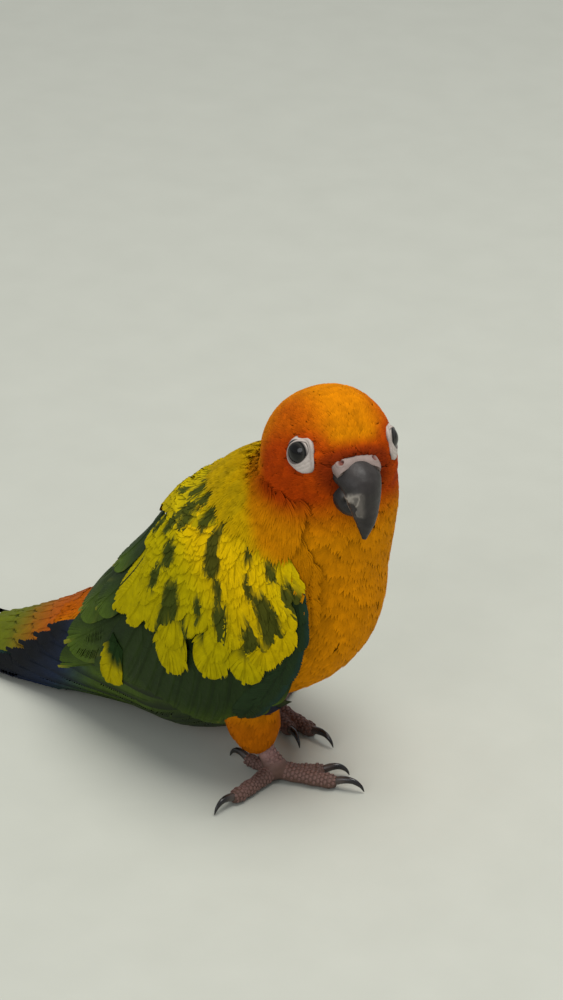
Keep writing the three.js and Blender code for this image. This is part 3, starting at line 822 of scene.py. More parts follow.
def fan_feathers(coat, roots, normals, flow, length, width, lift, patch):
    """Fans of barb locks laid on the form. lift is (n, 2): height of the shaft's root and tip."""
    local = fan_lines(length, width)
    across = np.cross(flow, normals)
    spots = roots[:, None, None] + flow[:, None, None] * local[..., :1]
    where, up = onto_form(spots + across[:, None, None] * local[..., 1:])
    along = np.clip(local[..., 0] / length[:, None, None], 0, 1)
    low, high = lift[:, 0][:, None, None], lift[:, 1][:, None, None]
    height = low + (high - low) * along**0.8 + rng.normal(0, 0.015, along.shape[:2] + (1,)) * along
    tint = body_tint(where.reshape(-1, 3)).reshape(where.shape)
    tint = np.clip(tint * (1 + 0.06 * rng.standard_normal((len(roots), 1, 1, 1))), 0, 1)
    add_fans(coat, where + up * height[..., None], up, width, tint, patch)


def chart_fans(coat, chart, p, v, length, width, lie, height, paint):
    """The same fans laid on a wing's chart; height(p, v) is the surface they make."""
    local = fan_lines(length, width)
    along, across = local[..., 0], local[..., 1]
    cos, sin = np.cos(lie)[:, None, None], np.sin(lie)[:, None, None]
    span = chart.reach(p)[:, None, None]
    pp = p[:, None, None] + along * cos - across * sin
    vv = v[:, None, None] + (along * sin + across * cos) / span
    rise = mix(-0.6, 0.05, np.clip(along / length[:, None, None], 0, 1) ** 0.8)
    where = chart.place(pp, vv, height(pp, vv) + rise)
    up = unit(chart.place(pp, vv, height(pp, vv) + rise + 0.5) - where)
    tint = np.clip(paint(pp, vv) * (1 + 0.03 * rng.standard_normal((len(p), 1, 1, 1))), 0, 1)
    add_fans(coat, where, up, width, tint, chart.patch(p, v))


# %% Feathers of head, breast, flanks and thighs
def head_patch(points):
    q = head_local(points)
    turn_round = np.arctan2(q[:, 1], q[:, 2] + 5) / (2 * np.pi) + 0.5
    return np.stack([0.02 + 0.96 * turn_round, 0.05 + 0.9 * np.clip((q[:, 0] + 18) / 36, 0, 1)], -1)


def trunk_patch(points):
    share = nearest_share(points)
    return np.stack([0.02 + 0.96 * (trunk_angle(points, share) / 360 + 0.5), 0.02 + 0.96 * share], -1)


lengths = spacing * 3.1 * rng.uniform(0.9, 1.12, len(roots))
widths = spacing * 2.2 * rng.uniform(0.9, 1.1, len(roots))
head_share = ramp(roots[:, 2], *COAT_BAND)
lifts = np.stack([mix(-0.6, -0.32, head_share), mix(0.05, 0.0, head_share)], -1)
lifts[:, 1] += rng.exponential(0.05, len(roots)) * mix(1.0, 0.3, head_share)
# By the eye a feather is cut short rather than laid over the bare ring
short = np.ones(len(roots))
for share in (1.0, 0.8, 0.6, 0.45):
    tips = roots + flow * (lengths * share)[:, None]
    middles = roots + flow * (lengths * share * 0.5)[:, None]
    inside = np.minimum(ring_share(head_local(tips)), ring_share(head_local(middles))) < 1.02
    short[inside & (roots[:, 2] > HEAD_FROM)] = share * 0.7
lengths *= short
widths *= np.sqrt(short)

is_head = roots[:, 2] > HEAD_FROM
is_thigh = (roots[:, 2] < 24) & (np.abs(roots[:, 1]) > 4) & (roots[:, 0] > -34)
regions = {"crown_and_face": is_head, "thighs": is_thigh & ~is_head}
rest = ~(is_head | is_thigh)
regions["breast_and_belly"] = rest & (roots[:, 0] > -12)
regions["flanks_and_back"] = rest & (roots[:, 0] <= -12)
for region, chosen in regions.items():
    coat = Coat()
    patch = head_patch(roots[chosen]) if region == "crown_and_face" else trunk_patch(roots[chosen])
    fan_feathers(
        coat, roots[chosen], root_normals[chosen], flow[chosen], lengths[chosen],
        widths[chosen], lifts[chosen], patch,
    )
    piece = coat.piece("feathers_" + region, down_feather)
    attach(piece, "root")

# %% [markdown]
# ## Wings
# A folded wing is layered like a roof: small coverts over the arm, then longer ones, then the
# flight feathers whose dark ends point to the tail. Each feather could be set by hand. Instead the
# wing has a chart of its own, millimetres back from its front edge and a share from its upper edge
# to its lower one, laid round the trunk. Feathers are drawn flat on the chart, and it bends them.

# %% The wing's chart
WING_FRONT_SHARE = 7.2 / 9
WING_TOP, WING_BOTTOM = 14, 150  # degrees round the trunk from the back
ARM_REACH = 50.0  # from the upper edge to the lower one over the arm
DROOP_ALONG = (36, 62)  # where the rear starts to hang, and where it hangs in full
REST_HEIGHT = 1.4  # a hanging feather comes no nearer to the floor
# hang: how far the lower edge stands off; back: how far the wing is set back; tuck: how much of the
# way down it reaches; droop_from: the share down the wing where its rear starts to hang
WINGS = {
    "right": {"side": 1, "hang": 4, "back": 0, "tuck": 1, "droop_from": 0.25},
    "left": {"side": -1, "hang": 1.5, "back": 5, "tuck": 0.84, "droop_from": -0.3},
}
CROWN_OF_WING = ([-8, -2, 8, 22, 38, 58, 90, 127], [0.9, 2.6, 3.6, 3.9, 3.6, 2.7, 1.9, 1.1])
walk_share = np.arange(0.98, -1e-9, -0.004)
walk_row = trunk_row(walk_share)
steps = np.hypot(np.diff(walk_row[:, 0]), np.diff(walk_row[:, 1]))
walked = np.concatenate([[0], np.cumsum(steps)])
walked_to_front = walked[np.searchsorted(-walk_share, -WING_FRONT_SHARE)]
print("from the neck to the wing's front, mm:", walked_to_front.round(1))


def share_at(p):
    return np.interp(np.asarray(p, float) + walked_to_front, walked, walk_share)


def hang(p, v):
    return ramp(v, 0.45, 0.95) * ramp(p, -10, 10) * (1 - ramp(p, 40, 75))


class WingChart:
    def __init__(self, fold, droop=0.0):
        self.fold, self.droop = fold, droop

    def place(self, p, v, h):
        fold = self.fold
        angle = fold["side"] * mix(WING_TOP, WING_BOTTOM, v * fold["tuck"])
        spot = trunk_point(share_at(p + fold["back"]), angle, h + fold["hang"] * hang(p, v) + GAP)
        if self.droop:
            start = fold["droop_from"]
            low = spot[..., 2] - self.droop * ramp(p, *DROOP_ALONG) * ramp(v, start, start + 0.6)
            lowest = REST_HEIGHT + 0.1 * (spot[..., 2] - low)
            spot[..., 2] = np.minimum(spot[..., 2], np.maximum(low, lowest))
        return off_floor(spot)

    def hanging(self, droop):
        """The same chart with its lower rear let down by so many millimetres."""
        return WingChart(self.fold, droop=droop)

    def reach(self, p):
        row = trunk_row(share_at(p))
        return (row[..., 2] + row[..., 3]) / 2 * math.radians(WING_BOTTOM - WING_TOP)

    def height(self, p, v):
        """The outside of the whole layered wing over the trunk."""
        round_off = np.sqrt(np.clip(1 - (np.clip((v - 0.55) / 0.57, -1, 1)) ** 2, 0, 1))
        return np.interp(p, *CROWN_OF_WING) * (0.2 + 0.8 * round_off)

    def patch(self, p, v):
        along, down = np.clip((p + 10) / 140, 0, 1), np.clip(v, 0, 1)
        return np.stack([0.04 + 0.92 * along, 0.04 + 0.92 * down], -1)


# %% [markdown]
# A vaned feather is a shaft with a comb of barbs on each side. A flat card with a picture of a
# feather is the usual short cut, but its edge is smooth and the export keeps no picture. Here the
# barbs leave the shaft at a slant, curve towards the tip and end on the vane's rounded outline, and
# here and there they part. A thin plate under them keeps the vane closed.

# %% A thin plate
def add_plate(coat, top, under, tint, patch):
    """A thin closed plate from two grids of points."""
    rows, columns = top.shape[:2]
    points = np.concatenate([top.reshape(-1, 3), under.reshape(-1, 3)])
    below = rows * columns
    faces = []
    for i in range(rows - 1):
        for j in range(columns - 1):
            a = i * columns + j
            b, c, d = a + 1, a + columns + 1, a + columns
            faces += [(a, b, c), (a, c, d)]
            faces += [(a + below, c + below, b + below), (a + below, d + below, c + below)]
    rim = list(range(columns))
    rim += [i * columns + columns - 1 for i in range(1, rows)]
    rim += [(rows - 1) * columns + j for j in range(columns - 2, -1, -1)]
    rim += [i * columns for i in range(rows - 2, 0, -1)]
    for k, a in enumerate(rim):
        b = rim[(k + 1) % len(rim)]
        faces += [(b, a, a + below), (b, a + below, b + below)]
    faces = np.array(faces)
    a, b, c = (points[faces[:, k]] for k in range(3))
    if (np.cross(a, b) * c).sum() < 0:
        faces = faces[:, ::-1]
    colours = np.concatenate([tint.reshape(-1, 3)] * 2)
    outward = unit(top - under).reshape(-1, 3)
    normals = np.concatenate([outward, -outward])
    steps = (np.linspace(-0.5, 0.5, rows), np.linspace(-0.5, 0.5, columns))
    grid = np.stack(np.meshgrid(*steps, indexing="ij"), -1)
    bake = patch[None] + np.concatenate([grid.reshape(-1, 2)] * 2) * BAKE_PATCH
    coat.add(points, faces, normals, colours, bake)


# %% A vaned feather
# What every feather has unless its own row says otherwise
FEATHER = {
    "bow": 0,  # how far the shaft bows down the wing, a share of its reach
    "layer": (0.5, 0.7),  # height at root and tip, a share of the whole wing's
    "lean": 0.25,  # how much its lower side stands over its upper one
    "offset": 0.0,  # extra height
    "barbs": 22,  # on each side of the shaft
    "base": 0.6,  # width at the root, a share of the full width
    "round": 0.62,  # where along the shaft the tip starts to round off
    "split": 0.12,  # the chance that a barb parts from the one before
    "ragged": 0.05,  # how unevenly the parted groups end
    "sweep": 1,  # how far the barbs sweep towards the tip
    "blunt": 0.86,  # how far along a barb it starts to narrow to its point
}
FIRST_BARB, LAST_BARB = 0.06, 0.97
SLIGHT = 0.12  # a barb ends at least this far from the shaft
BROAD = 3.8  # half width from which a feather's plate is finer and lies lower


def vane_outline(s, base, round_from):
    past = np.clip((s - round_from) / (1 - round_from), 0, 1)
    return mix(base, 1, ramp(s, 0, 0.5)) * np.sqrt(np.clip(1 - past**2.6, 0.0, 1))


class Feather:
    """One feather on a chart: s is a share of its shaft and y lies across it."""

    def __init__(self, chart, spec):
        self.chart, self.spec = chart, {**FEATHER, **spec}
        (p0, v0), (p1, v1) = self.root, self.tip = spec["root"], spec["tip"]
        self.half_width = spec["width"] / 2
        self.reach = float(chart.reach(np.array((p0 + p1) / 2)))
        self.length = math.hypot(p1 - p0, (v1 - v0) * self.reach)
        self.patch = chart.patch(np.array(p0), np.array(v0))

    def shaft(self, s):
        (p0, v0), (p1, v1) = self.root, self.tip
        bow = self.spec["bow"] * np.sin(np.pi * s)
        return np.stack([mix(p0, p1, s), mix(v0, v1, s) + bow], -1)

    def at(self, s, y, extra=0.0):
        """The point at s and y, with its p and v on the chart."""
        spec, spot = self.spec, self.shaft(s)
        run = self.shaft(np.minimum(s + 0.02, 1.02)) - self.shaft(s - 0.02)
        tangent = unit(np.stack([run[..., 0], run[..., 1] * self.reach], -1))
        p = spot[..., 0] - tangent[..., 1] * y
        v = spot[..., 1] + tangent[..., 0] * y / self.reach
        c = y / self.half_width
        share = mix(*spec["layer"], np.clip(s, 0, 1))
        height = self.chart.height(p, v) * share + spec["lean"] * c - 0.2 * c * c + spec["offset"]
        return self.chart.place(p, v, height + extra), p, v

    def half_vane(self, s):
        return self.half_width * vane_outline(s, self.spec["base"], self.spec["round"])

    def add_barbs(self, coat, side, paint):
        spec, count = self.spec, self.spec["barbs"]
        s = np.linspace(FIRST_BARB, LAST_BARB, count) + rng.normal(0, 0.12 / count, count)
        group = np.cumsum(rng.random(count) < spec["split"])
        drift = rng.normal(0, 0.03, count + 1)[group]
        gather = rng.normal(0, spec["ragged"], count + 1)[group]
        sweep = mix(0.34, 0.2, s) * spec["sweep"] * (self.half_width * 4.5 / self.length)
        s_end = np.minimum(s + sweep + drift * 0.4, 1.03)
        y_end = side * self.half_vane(np.clip(s_end, 0, 1)) * (1 + gather)
        y_end = np.where(np.abs(y_end) < SLIGHT, side * SLIGHT, y_end)
        k = np.array([0, 0.4, spec["blunt"], 1])
        ss = s[:, None] + (s_end - s)[:, None] * k**1.25
        yy = y_end[:, None] * k**0.75
        points, p, v = self.at(ss, yy, 0.05)
        # The surface's own normal, from a step along it and a step across it
        onward, beside = self.at(ss + 0.01, yy, 0.05)[0], self.at(ss, yy + 0.1, 0.05)[0]
        above = self.at(ss, yy, 0.55)[0]
        up = unit(np.cross(onward - points, beside - points))
        up = np.where(((above - points) * up).sum(-1, keepdims=True) < 0, -up, up)
        spacing = self.length * 0.92 / count
        half = spacing * np.array([0.7, 0.8, 0.75])[None] * rng.uniform(0.9, 1.1, (count, 1))
        colour = paint(ss, np.abs(yy) / self.half_width * np.sign(yy), p, v)
        colour = colour * rng.uniform(0.93, 1.06, (count, 1, 1))
        patch = np.broadcast_to(self.patch, (count, 2))
        coat.add_strips(points, up, half, half * 0.07 + 0.012, colour, patch)

    def add_vane(self, coat, paint):
        """The plate under the barbs, a little darker than they are: painted shade, as it lies beneath
        them.
        """
        broad = self.half_width > BROAD
        rows, columns, end, lift = (19, 9, 0.975, -0.06) if broad else (11, 5, 0.965, -0.02)
        s = np.linspace(0.0, end, rows)[:, None]
        c = np.linspace(-1, 1, columns)[None]
        wide = self.half_vane(s) * 0.98
        sheet, p, v = self.at(s + 0 * c, wide * c, lift)
        under, _, _ = self.at(s + 0 * c, wide * c, -0.16)
        # Painted shade on the plate beneath the barbs
        tint = paint(s + 0 * c, wide * c / self.half_width, p, v) * 0.85
        add_plate(coat, sheet, under, tint, self.patch)

    def add_shaft(self, coat, paint):
        """A ridge along the middle, thinner towards the tip."""
        s = np.linspace(0.0, 0.9, 7)[:, None]
        thick = 0.34 * (1 - s * 0.7)
        c = np.array([[-1, 0, 1]])
        top, p, v = self.at(s + 0 * c, thick * c, 0.14)
        low, _, _ = self.at(s + 0 * c, thick * c, -0.1)
        ridge, _, _ = self.at(s, 0 * s, 0.26)
        top[:, 1] = ridge[:, 0]
        tint = paint(s + 0 * c, 0 * (s + c), p, v) * 0.8
        add_plate(coat, top, low, tint, self.patch)


def vaned_feather(coat, chart, spec, paint):
    """paint(s, c, p, v) gives the colour at share s of the shaft and c of the half width."""
    feather = Feather(chart, spec)
    for side in (-1, 1):
        feather.add_barbs(coat, side, paint)
    feather.add_vane(coat, paint)
    feather.add_shaft(coat, paint)


# %% [markdown]
# ## The wing's colours
# Coverts over the arm are yellow, some with green on them, and their bases are dark. The long inner
# feathers are grass green with thin pale edges, the primaries green at the base, then navy, then
# black. A marking that runs along each feather is painted by its place on the feather, and one that
# runs over many by its place on the wing.

# %% Wing colours
WING_YELLOW = linear("#DCB404")
LEMON_AND_SHADE_YELLOW = linear("#B4A404")
LEMON = linear("#8A8420")
LEAF_GREEN = linear("#445812")
DEEP_GREEN = linear("#233819")
TEAL = linear("#23545A")
NAVY = linear("#1E2C48")
SOOT = linear("#15171B")
OLIVE = linear("#666E12")
PALE_EDGE = LEMON * 1.1


def wing_yellow(p, v):
    """Bright on the shoulder, more lemon towards the wing's rear, and darker towards its lower side as
    painted shade.
    """
    gold = np.broadcast_to(WING_YELLOW, np.broadcast(p, v).shape + (3,)) * 1.1
    # The lemon tone is the rear's own colour; on the lower side it is painted shade
    return over(gold, LEMON_AND_SHADE_YELLOW, np.maximum(ramp(p, 8, 26), ramp(v, 0.6, 0.75) * 0.5))


def flat_paint(colour):
    return lambda s, c, p, v: filled(colour, s)


def primary_paint(s, c, p, v):
    """Green with a dark inner side by the wing's root, then navy, then black."""
    tint = filled(mix(DEEP_GREEN, LEAF_GREEN, 0.45), s)
    tint = over(tint, LEAF_GREEN * 1.1, ramp(c, -0.3, 0.4) * 0.7)
    tint = over(tint, SOOT, ramp(c, 0.1, -0.5) * 0.85)
    tint = over(tint, TEAL, ramp(s, 0.58, 0.7) * ramp(c, 0.3, 0.9) * 0.6)
    tint = over(tint, NAVY, ramp(s, 0.6, 0.8))
    tint = over(tint, SOOT, ramp(s, 0.7, 0.95) * ramp(c, 1.1, 0.5))
    # Painted shade where the coverts shade it, and a painted shadow seam along its free edge
    return over(tint, SOOT, np.maximum(ramp(s, 0.36, 0.2) * 0.5, ramp(c, 0.55, 0.9) * 0.8))


def green_paint(edge_tone, dark):
    """Painted shade along the side that lies under the next feather and over the base half, painted
    light on the exposed tip, and a thin pale edge.
    """

    def paint(s, c, p, v):
        tint = filled(mix(LEAF_GREEN, DEEP_GREEN, dark), s)
        # Painted shade under the next feather and over the base half; painted light on the exposed tip
        tint = over(tint, DEEP_GREEN * 0.6, ramp(c, 0.3, -0.7) * 0.6)
        tint = over(tint, DEEP_GREEN * 0.55, ramp(s, 0.8, 0.5) * 0.75)
        tint = over(tint, LEAF_GREEN * 1.5, ramp(s, 0.75, 0.95) * ramp(c, -0.8, 0.1) * 0.7)
        edge = np.maximum(ramp(np.abs(c), 0.92, 0.99) * ramp(s, 0.75, 0.9), ramp(s, 0.985, 1.02))
        return over(tint, edge_tone, edge * 0.85)

    return paint


def edge_paint(s, c, p, v):
    return over(filled(DEEP_GREEN * 0.8, s), TEAL * 0.5, ramp(c, 0.5, 1.0) * 0.4)


# %% Green among the yellow
# p, v, and half the spot's length along the feathers and across them
GREEN_SPOTS = [
    (32, 0.465, 5.5, 2.4), (11, 0.45, 4.5, 2.2), (26, 0.325, 4.5, 2), (7, 0.4, 4, 1.6),
    (4, 0.79, 4.5, 2.6), (9.5, 0.705, 4, 2.2), (20, 0.605, 4, 1.8), (13, 0.755, 4.5, 2.4),
    (18, 0.72, 4, 2), (1, 0.66, 2.5, 1.2), (-3, 0.62, 3, 1.2), (15, 0.53, 2.5, 1),
    (24, 0.53, 2.5, 0.9), (2, 0.55, 2.2, 0.9), (8, 0.62, 2.5, 1), (35, 0.36, 4, 1.4),
    (-4, 0.34, 6, 2), (4, 0.3, 6, 1.8), (14, 0.25, 6, 1.2), (0, 0.37, 5, 1.0),
    (34, 0.6, 4.5, 2), (26, 0.7, 5, 1.6), (19, 0.745, 4, 1.2), (38, 0.5, 5, 1.2),
    (-6, 0.26, 5, 2), (-3, 0.14, 4, 1.6), (3, 0.2, 5, 1.6), (8, 0.12, 5, 1.3),
    (12, 0.2, 6, 1.4), (22, 0.23, 6, 1.2), (16, 0.08, 5, 1.2), (29, 0.18, 6, 1.2),
    (3, 0.04, 5, 1.4),
]
print("green spots:", len(GREEN_SPOTS))


def green_among_yellow(p, v):
    amount = np.zeros(np.broadcast(p, v).shape)
    for spot_p, spot_v, long, wide in GREEN_SPOTS:
        lie = math.radians(mix(6, 42, float(ramp(spot_v, 0.2, 0.7))))
        x, y = p - spot_p, (v - spot_v) * ARM_REACH
        along = (x * math.cos(lie) + y * math.sin(lie)) / long
        across = (y * math.cos(lie) - x * math.sin(lie)) / wide
        amount = np.maximum(amount, ramp(np.hypot(along, across), 1.15, 0.8))
    return amount


def tipped_paint(s, c, p, v):
    """Green at the root, yellow from the middle to the frayed tip."""
    yellow = ramp(s + 0.12 * np.abs(c), 0.34, 0.54)
    return over(filled(DEEP_GREEN, s), wing_yellow(p, v), yellow)


def arm_paint(s, c, p, v):
    """Yellow with an olive root, and green where the spots lie."""
    tint = over(wing_yellow(p, v), OLIVE, ramp(s, 0.5, 0.0) * 0.5)
    jitter = rng.normal(0, 0.6, (len(s), 1))
    return over(tint, DEEP_GREEN, green_among_yellow(p + jitter, v + 0.01 * jitter) * 0.92)


def mantle_paint(s, c, p, v):
    """Olive yellow with dark green strokes along the shafts."""
    along_shaft = ramp(np.abs(c), 0.6, 0.1) * ramp(s, 0.9, 0.4)
    tint = over(filled(MANTLE_YELLOW, s), OLIVE, along_shaft * 0.6)
    jitter = rng.normal(0, 0.8, (len(s), 1))
    return over(tint, DEEP_GREEN, green_among_yellow(p + jitter, v + 0.01 * jitter) * 0.9)


# %% [markdown]
# ## The wing's feathers
# The long feathers that show one by one in a folded wing each have a row of their own, so that a
# single one can be moved. The small ones over the arm are too many for that, and are laid in rows
# by rule. The lowest layer comes first and each next one lies over it.

# %% Flight feathers
SMOOTH_VANE = {
    "barbs": 68, "base": 0.75, "round": 0.74, "split": 0.03, "ragged": 0.006, "blunt": 0.96,
}
PRIMARY_VANE = {
    "barbs": 84, "base": 0.85, "round": 0.5, "split": 0.03, "ragged": 0.005, "sweep": 0.8,
    "blunt": 0.96,
}
PRIMARY_DROOP, SECONDARY_DROOP, COVERT_DROOP = 7.5, 3.5, 3
# Root, tip and width on the chart, the lowest first; a primary's bow comes last
PRIMARIES = [
    ((42, 0.72), (92, 0.3), 9.5, 0.02), ((41, 0.75), (97, 0.36), 9, 0.06),
    ((40, 0.78), (102, 0.42), 9, 0.09), ((38, 0.8), (107, 0.48), 8.5, 0.12),
    ((36, 0.83), (112, 0.53), 8.5, 0.14), ((34, 0.85), (117, 0.58), 8, 0.16),
    ((31, 0.88), (122, 0.62), 8, 0.18), ((28, 0.9), (127, 0.62), 7.5, 0.22),
]
SECONDARIES = [
    ((46, 0.76), (87, 0.96), 12), ((46, 0.66), (91, 0.83), 15), ((46, 0.54), (89, 0.65), 15.5),
    ((43, 0.4), (84, 0.45), 15.5), ((38, 0.26), (77, 0.27), 13.5),
]


def wing_feather(coat, chart, row, layer, vane, paint):
    root, tip, width = row
    spec = {"root": root, "tip": tip, "width": width, "layer": layer, **vane}
    vaned_feather(coat, chart, spec, paint)


def flight_layer(coat, chart):
    for i, (*row, bow) in enumerate(PRIMARIES):
        layer, vane = (0.34 - 0.02 * i, 0.5 - 0.03 * i), {**PRIMARY_VANE, "bow": bow}
        wing_feather(coat, chart.hanging(PRIMARY_DROOP), row, layer, vane, primary_paint)
    for i, row in enumerate(SECONDARIES):
        layer, paint = (0.5, 0.6 + 0.05 * i), green_paint(PALE_EDGE, 0.15)
        wing_feather(coat, chart.hanging(SECONDARY_DROOP), row, layer, SMOOTH_VANE, paint)


print("flight feathers in a wing:", len(PRIMARIES) + len(SECONDARIES))

# %% Long coverts
TERTIALS = [((30, 0.12), (60, 0.17), 10), ((38, 0.24), (66, 0.35), 10.5)]
GREATER_COVERTS = [
    ((46, 0.44), (75, 0.72), 10.5), ((43, 0.52), (69, 0.81), 10.5), ((39, 0.58), (63, 0.87), 10.5),
    ((35, 0.62), (57, 0.9), 10), ((31, 0.65), (53, 0.925), 9.5), ((28, 0.68), (49, 0.94), 9.5),
    ((24, 0.7), (44, 0.94), 9.5), ((19, 0.72), (37.5, 0.92), 9.5), ((12, 0.76), (31, 0.89), 8.5),
]
PRIMARY_COVERTS = [
    ((30, 0.93), (53, 0.99), 7), ((34, 0.95), (59, 0.97), 7.5), ((28, 0.9), (48, 1.0), 6.5),
]
EDGE_COVERTS = [
    ((22, 0.83), (37, 0.915), 5.5), ((14, 0.81), (30, 0.88), 5.5), ((7, 0.79), (22, 0.855), 5),
    ((1, 0.775), (14, 0.84), 4.5), ((-2, 0.755), (8, 0.825), 3.6),
]


def covert_layer(coat, chart):
    blue_black = flat_paint(mix(NAVY, SOOT, 0.6))
    for row in PRIMARY_COVERTS:
        wing_feather(coat, chart, row, (0.5, 0.62), SMOOTH_VANE, blue_black)
    # The front ones lie over those behind them
    for i, row in reversed(list(enumerate(GREATER_COVERTS))):
        layer, paint = (0.62, 0.98 - 0.03 * i), green_paint(PALE_EDGE, 0.1 + 0.06 * i)
        wing_feather(coat, chart.hanging(COVERT_DROOP), row, layer, SMOOTH_VANE, paint)
    for row in TERTIALS:
        wing_feather(coat, chart, row, (0.8, 1.02), SMOOTH_VANE, green_paint(LEMON, 0.45))
    narrow = {**SMOOTH_VANE, "barbs": 24, "base": 0.2}
    for row in EDGE_COVERTS:
        wing_feather(coat, chart, row, (0.8, 0.95), narrow, edge_paint)


print("long coverts in a wing:", len(TERTIALS + GREATER_COVERTS + PRIMARY_COVERTS + EDGE_COVERTS))

# %% Yellow coverts that show one by one
FRAYED_VANE = {"offset": 0.15, "barbs": 26, "round": 0.5, "split": 0.35, "ragged": 0.14, "base": 0.65}
LOOSE_VANE = {"barbs": 26, "round": 0.45, "split": 0.15, "ragged": 0.04}
MEDIAN_COVERTS = [
    ((33, 0.48), (43, 0.66), 10), ((39, 0.37), (52.5, 0.455), 6.5), ((23, 0.6), (33.5, 0.71), 8),
    ((17, 0.68), (26.5, 0.785), 7.5), ((29, 0.45), (40, 0.575), 9), ((18, 0.58), (29, 0.68), 6.5),
    ((60, 0.52), (73, 0.73), 7), ((10, 0.7), (21, 0.78), 7), ((12, 0.57), (23, 0.67), 7.5),
    ((4, 0.72), (16, 0.81), 5.5),
]
SCAPULARS = [
    ((34, 0.33), (50, 0.45), 7.5), ((30, 0.37), (45, 0.5), 8), ((30, 0.3), (46, 0.4), 8),
    ((33, 0.24), (58, 0.385), 10.5), ((26, 0.3), (42, 0.4), 8), ((24, 0.36), (39, 0.5), 8),
    ((24, 0.23), (42, 0.31), 8), ((20, 0.3), (36, 0.4), 8),
]


def yellow_layer(coat, chart):
    for row in MEDIAN_COVERTS:
        wing_feather(coat, chart.hanging(COVERT_DROOP), row, (0.8, 1.1), FRAYED_VANE, tipped_paint)
    for row in SCAPULARS:
        wing_feather(coat, chart, row, (0.85, 1.05), LOOSE_VANE, arm_paint)


print("yellow coverts set singly:", len(MEDIAN_COVERTS + SCAPULARS))

# %% Small coverts by rule
# How far back the yellow reaches, and where the wing's front and lower edge runs: v, then p
YELLOW_END = ([0.2, 0.36, 0.45, 0.56, 0.64, 0.7, 0.76, 0.81, 0.84], [44, 42, 38, 33, 28, 23, 18, 11, 4])
WING_EDGE = (
    [0.0, 0.3, 0.42, 0.49, 0.56, 0.66, 0.73, 0.81, 0.845, 0.86, 0.875, 0.9, 0.94],
    [-14, -12, -8, -6, -4, -4, -2, 1, 8, 14, 24, 34, 50],
)
ROW_GAP, COVERT_GAP = 2.6, 0.05  # mm back, and a share down the wing
SMALL_VANE = {"barbs": 13, "round": 0.35, "split": 0.35, "ragged": 0.15, "base": 0.5, "sweep": 1.2}


def lies_in_wing(p, v):
    """Whether a point lies behind the wing's front and lower edge."""
    return p > np.interp(v, *WING_EDGE)


def small_covert(p, v, length):
    """A covert over the arm: it lies back, and lower down it turns down."""
    turn_down = math.radians(mix(4, 42, float(ramp(v, 0.15, 0.75))) + rng.normal(0, 4))
    tip = (p + length * math.cos(turn_down), v + length * math.sin(turn_down) / ARM_REACH)
    return {"root": (p, v), "tip": tip, "width": 5, "layer": (0.88, 1.1), **SMALL_VANE}


def arm_layer(coat, chart):
    """The back rows come first, so that the front rows lie over them."""
    count = 0
    for row, p in enumerate(np.arange(30, -13, -ROW_GAP)):
        for v in np.arange(0.2 + COVERT_GAP / 2 * (row % 2), 0.83, COVERT_GAP):
            spec = small_covert(p + rng.normal(0, 0.6), v + rng.normal(0, 0.008), rng.uniform(8, 10.5))
            (root_p, root_v), (tip_p, tip_v) = spec["root"], spec["tip"]
            if tip_p > np.interp(tip_v, *YELLOW_END) + rng.normal(0, 1.5):
                continue
            if lies_in_wing(tip_p - 1, tip_v + 0.02) and lies_in_wing(root_p + 3, root_v):
                vaned_feather(coat, chart, spec, arm_paint)
                count += 1
    return count


# %% Mantle
MANTLE_VANE = {
    "width": 5.5, "layer": (0.7, 1.0), "offset": 0.4, "barbs": 16, "round": 0.35, "split": 0.3,
    "ragged": 0.12, "base": 0.5, "sweep": 1.2,
}


def mantle_layer(coat, chart):
    """Long soft feathers from the nape over the wing's upper edge."""
    count = 0
    for p in np.arange(30, -9, -3.2):
        low = np.interp(p + 12, [-12, -5, 23, 34, 54], [0.46, 0.42, 0.22, 0.06, 0.0])
        for v in np.arange(low - 0.05, -0.14, -0.045):
            length = rng.uniform(13, 18)
            spec = {"root": (p + rng.normal(0, 1), v), "tip": (p + length, v - 0.015), **MANTLE_VANE}
            vaned_feather(coat, chart, spec, mantle_paint)
            count += 1
    return count


# %% Collar and the wing's front
def collar_height(p, v):
    """The collar's outside: it comes up off the neck and over the wing's front."""
    round_off = np.sqrt(np.clip(1 - (np.clip((v - 0.5) / 0.8, -1, 1)) ** 2, 0, 1))
    rise = np.interp(p, [-16, -11, -5, 1, 6], [0.2, 1.4, 2.7, 3.6, 3.9])
    return rise * (0.35 + 0.65 * round_off)


def collar_paint(chart):
    """The body's own colour by the neck, gold and then the wing's yellow behind."""

    def paint(p, v):
        where = chart.place(p, v, 1.0)
        gold = body_tint(where.reshape(-1, 3)).reshape(where.shape)
        gold = over(gold, BREAST_GOLD, ramp(p, -14, -5))
        gold = over(gold, MANTLE_YELLOW, ramp(p, -9, 1) * ramp(v, 0.6, 0.2) * 0.8)
        strokes = green_among_yellow(p, v) * ramp(p, -10, -5) * ramp(v, 0.5, 0.4)
        gold = over(gold, DEEP_GREEN, strokes * 0.8)
        return over(gold, WING_YELLOW, ramp(p - np.interp(v, *WING_EDGE), 0, 5) * 0.8)

    return paint


def collar_fans(coat, chart):
    """The neck's feathers puffed out over the shoulder."""
    p, v = np.meshgrid(np.arange(-15, 0.5, 1.6), np.arange(-0.16, 0.64, 0.036), indexing="ij")
    p, v = p.ravel(), v.ravel()
    p, v = p + rng.normal(0, 0.5, p.shape), v + rng.normal(0, 0.01, v.shape)
    keep = p < np.interp(v, [0.0, 0.3, 0.5, 0.64], [0.5, -1.5, -4, -6])
    p, v = p[keep], v[keep]
    lie = np.radians(np.interp(v, [0, 0.3, 0.64], [0, 8, 30])) + rng.normal(0, 0.08, len(p))
    long, wide = rng.uniform(5.2, 6.4, len(p)), rng.uniform(3.2, 3.8, len(p))
    chart_fans(coat, chart, p, v, long, wide, lie, collar_height, collar_paint(chart))


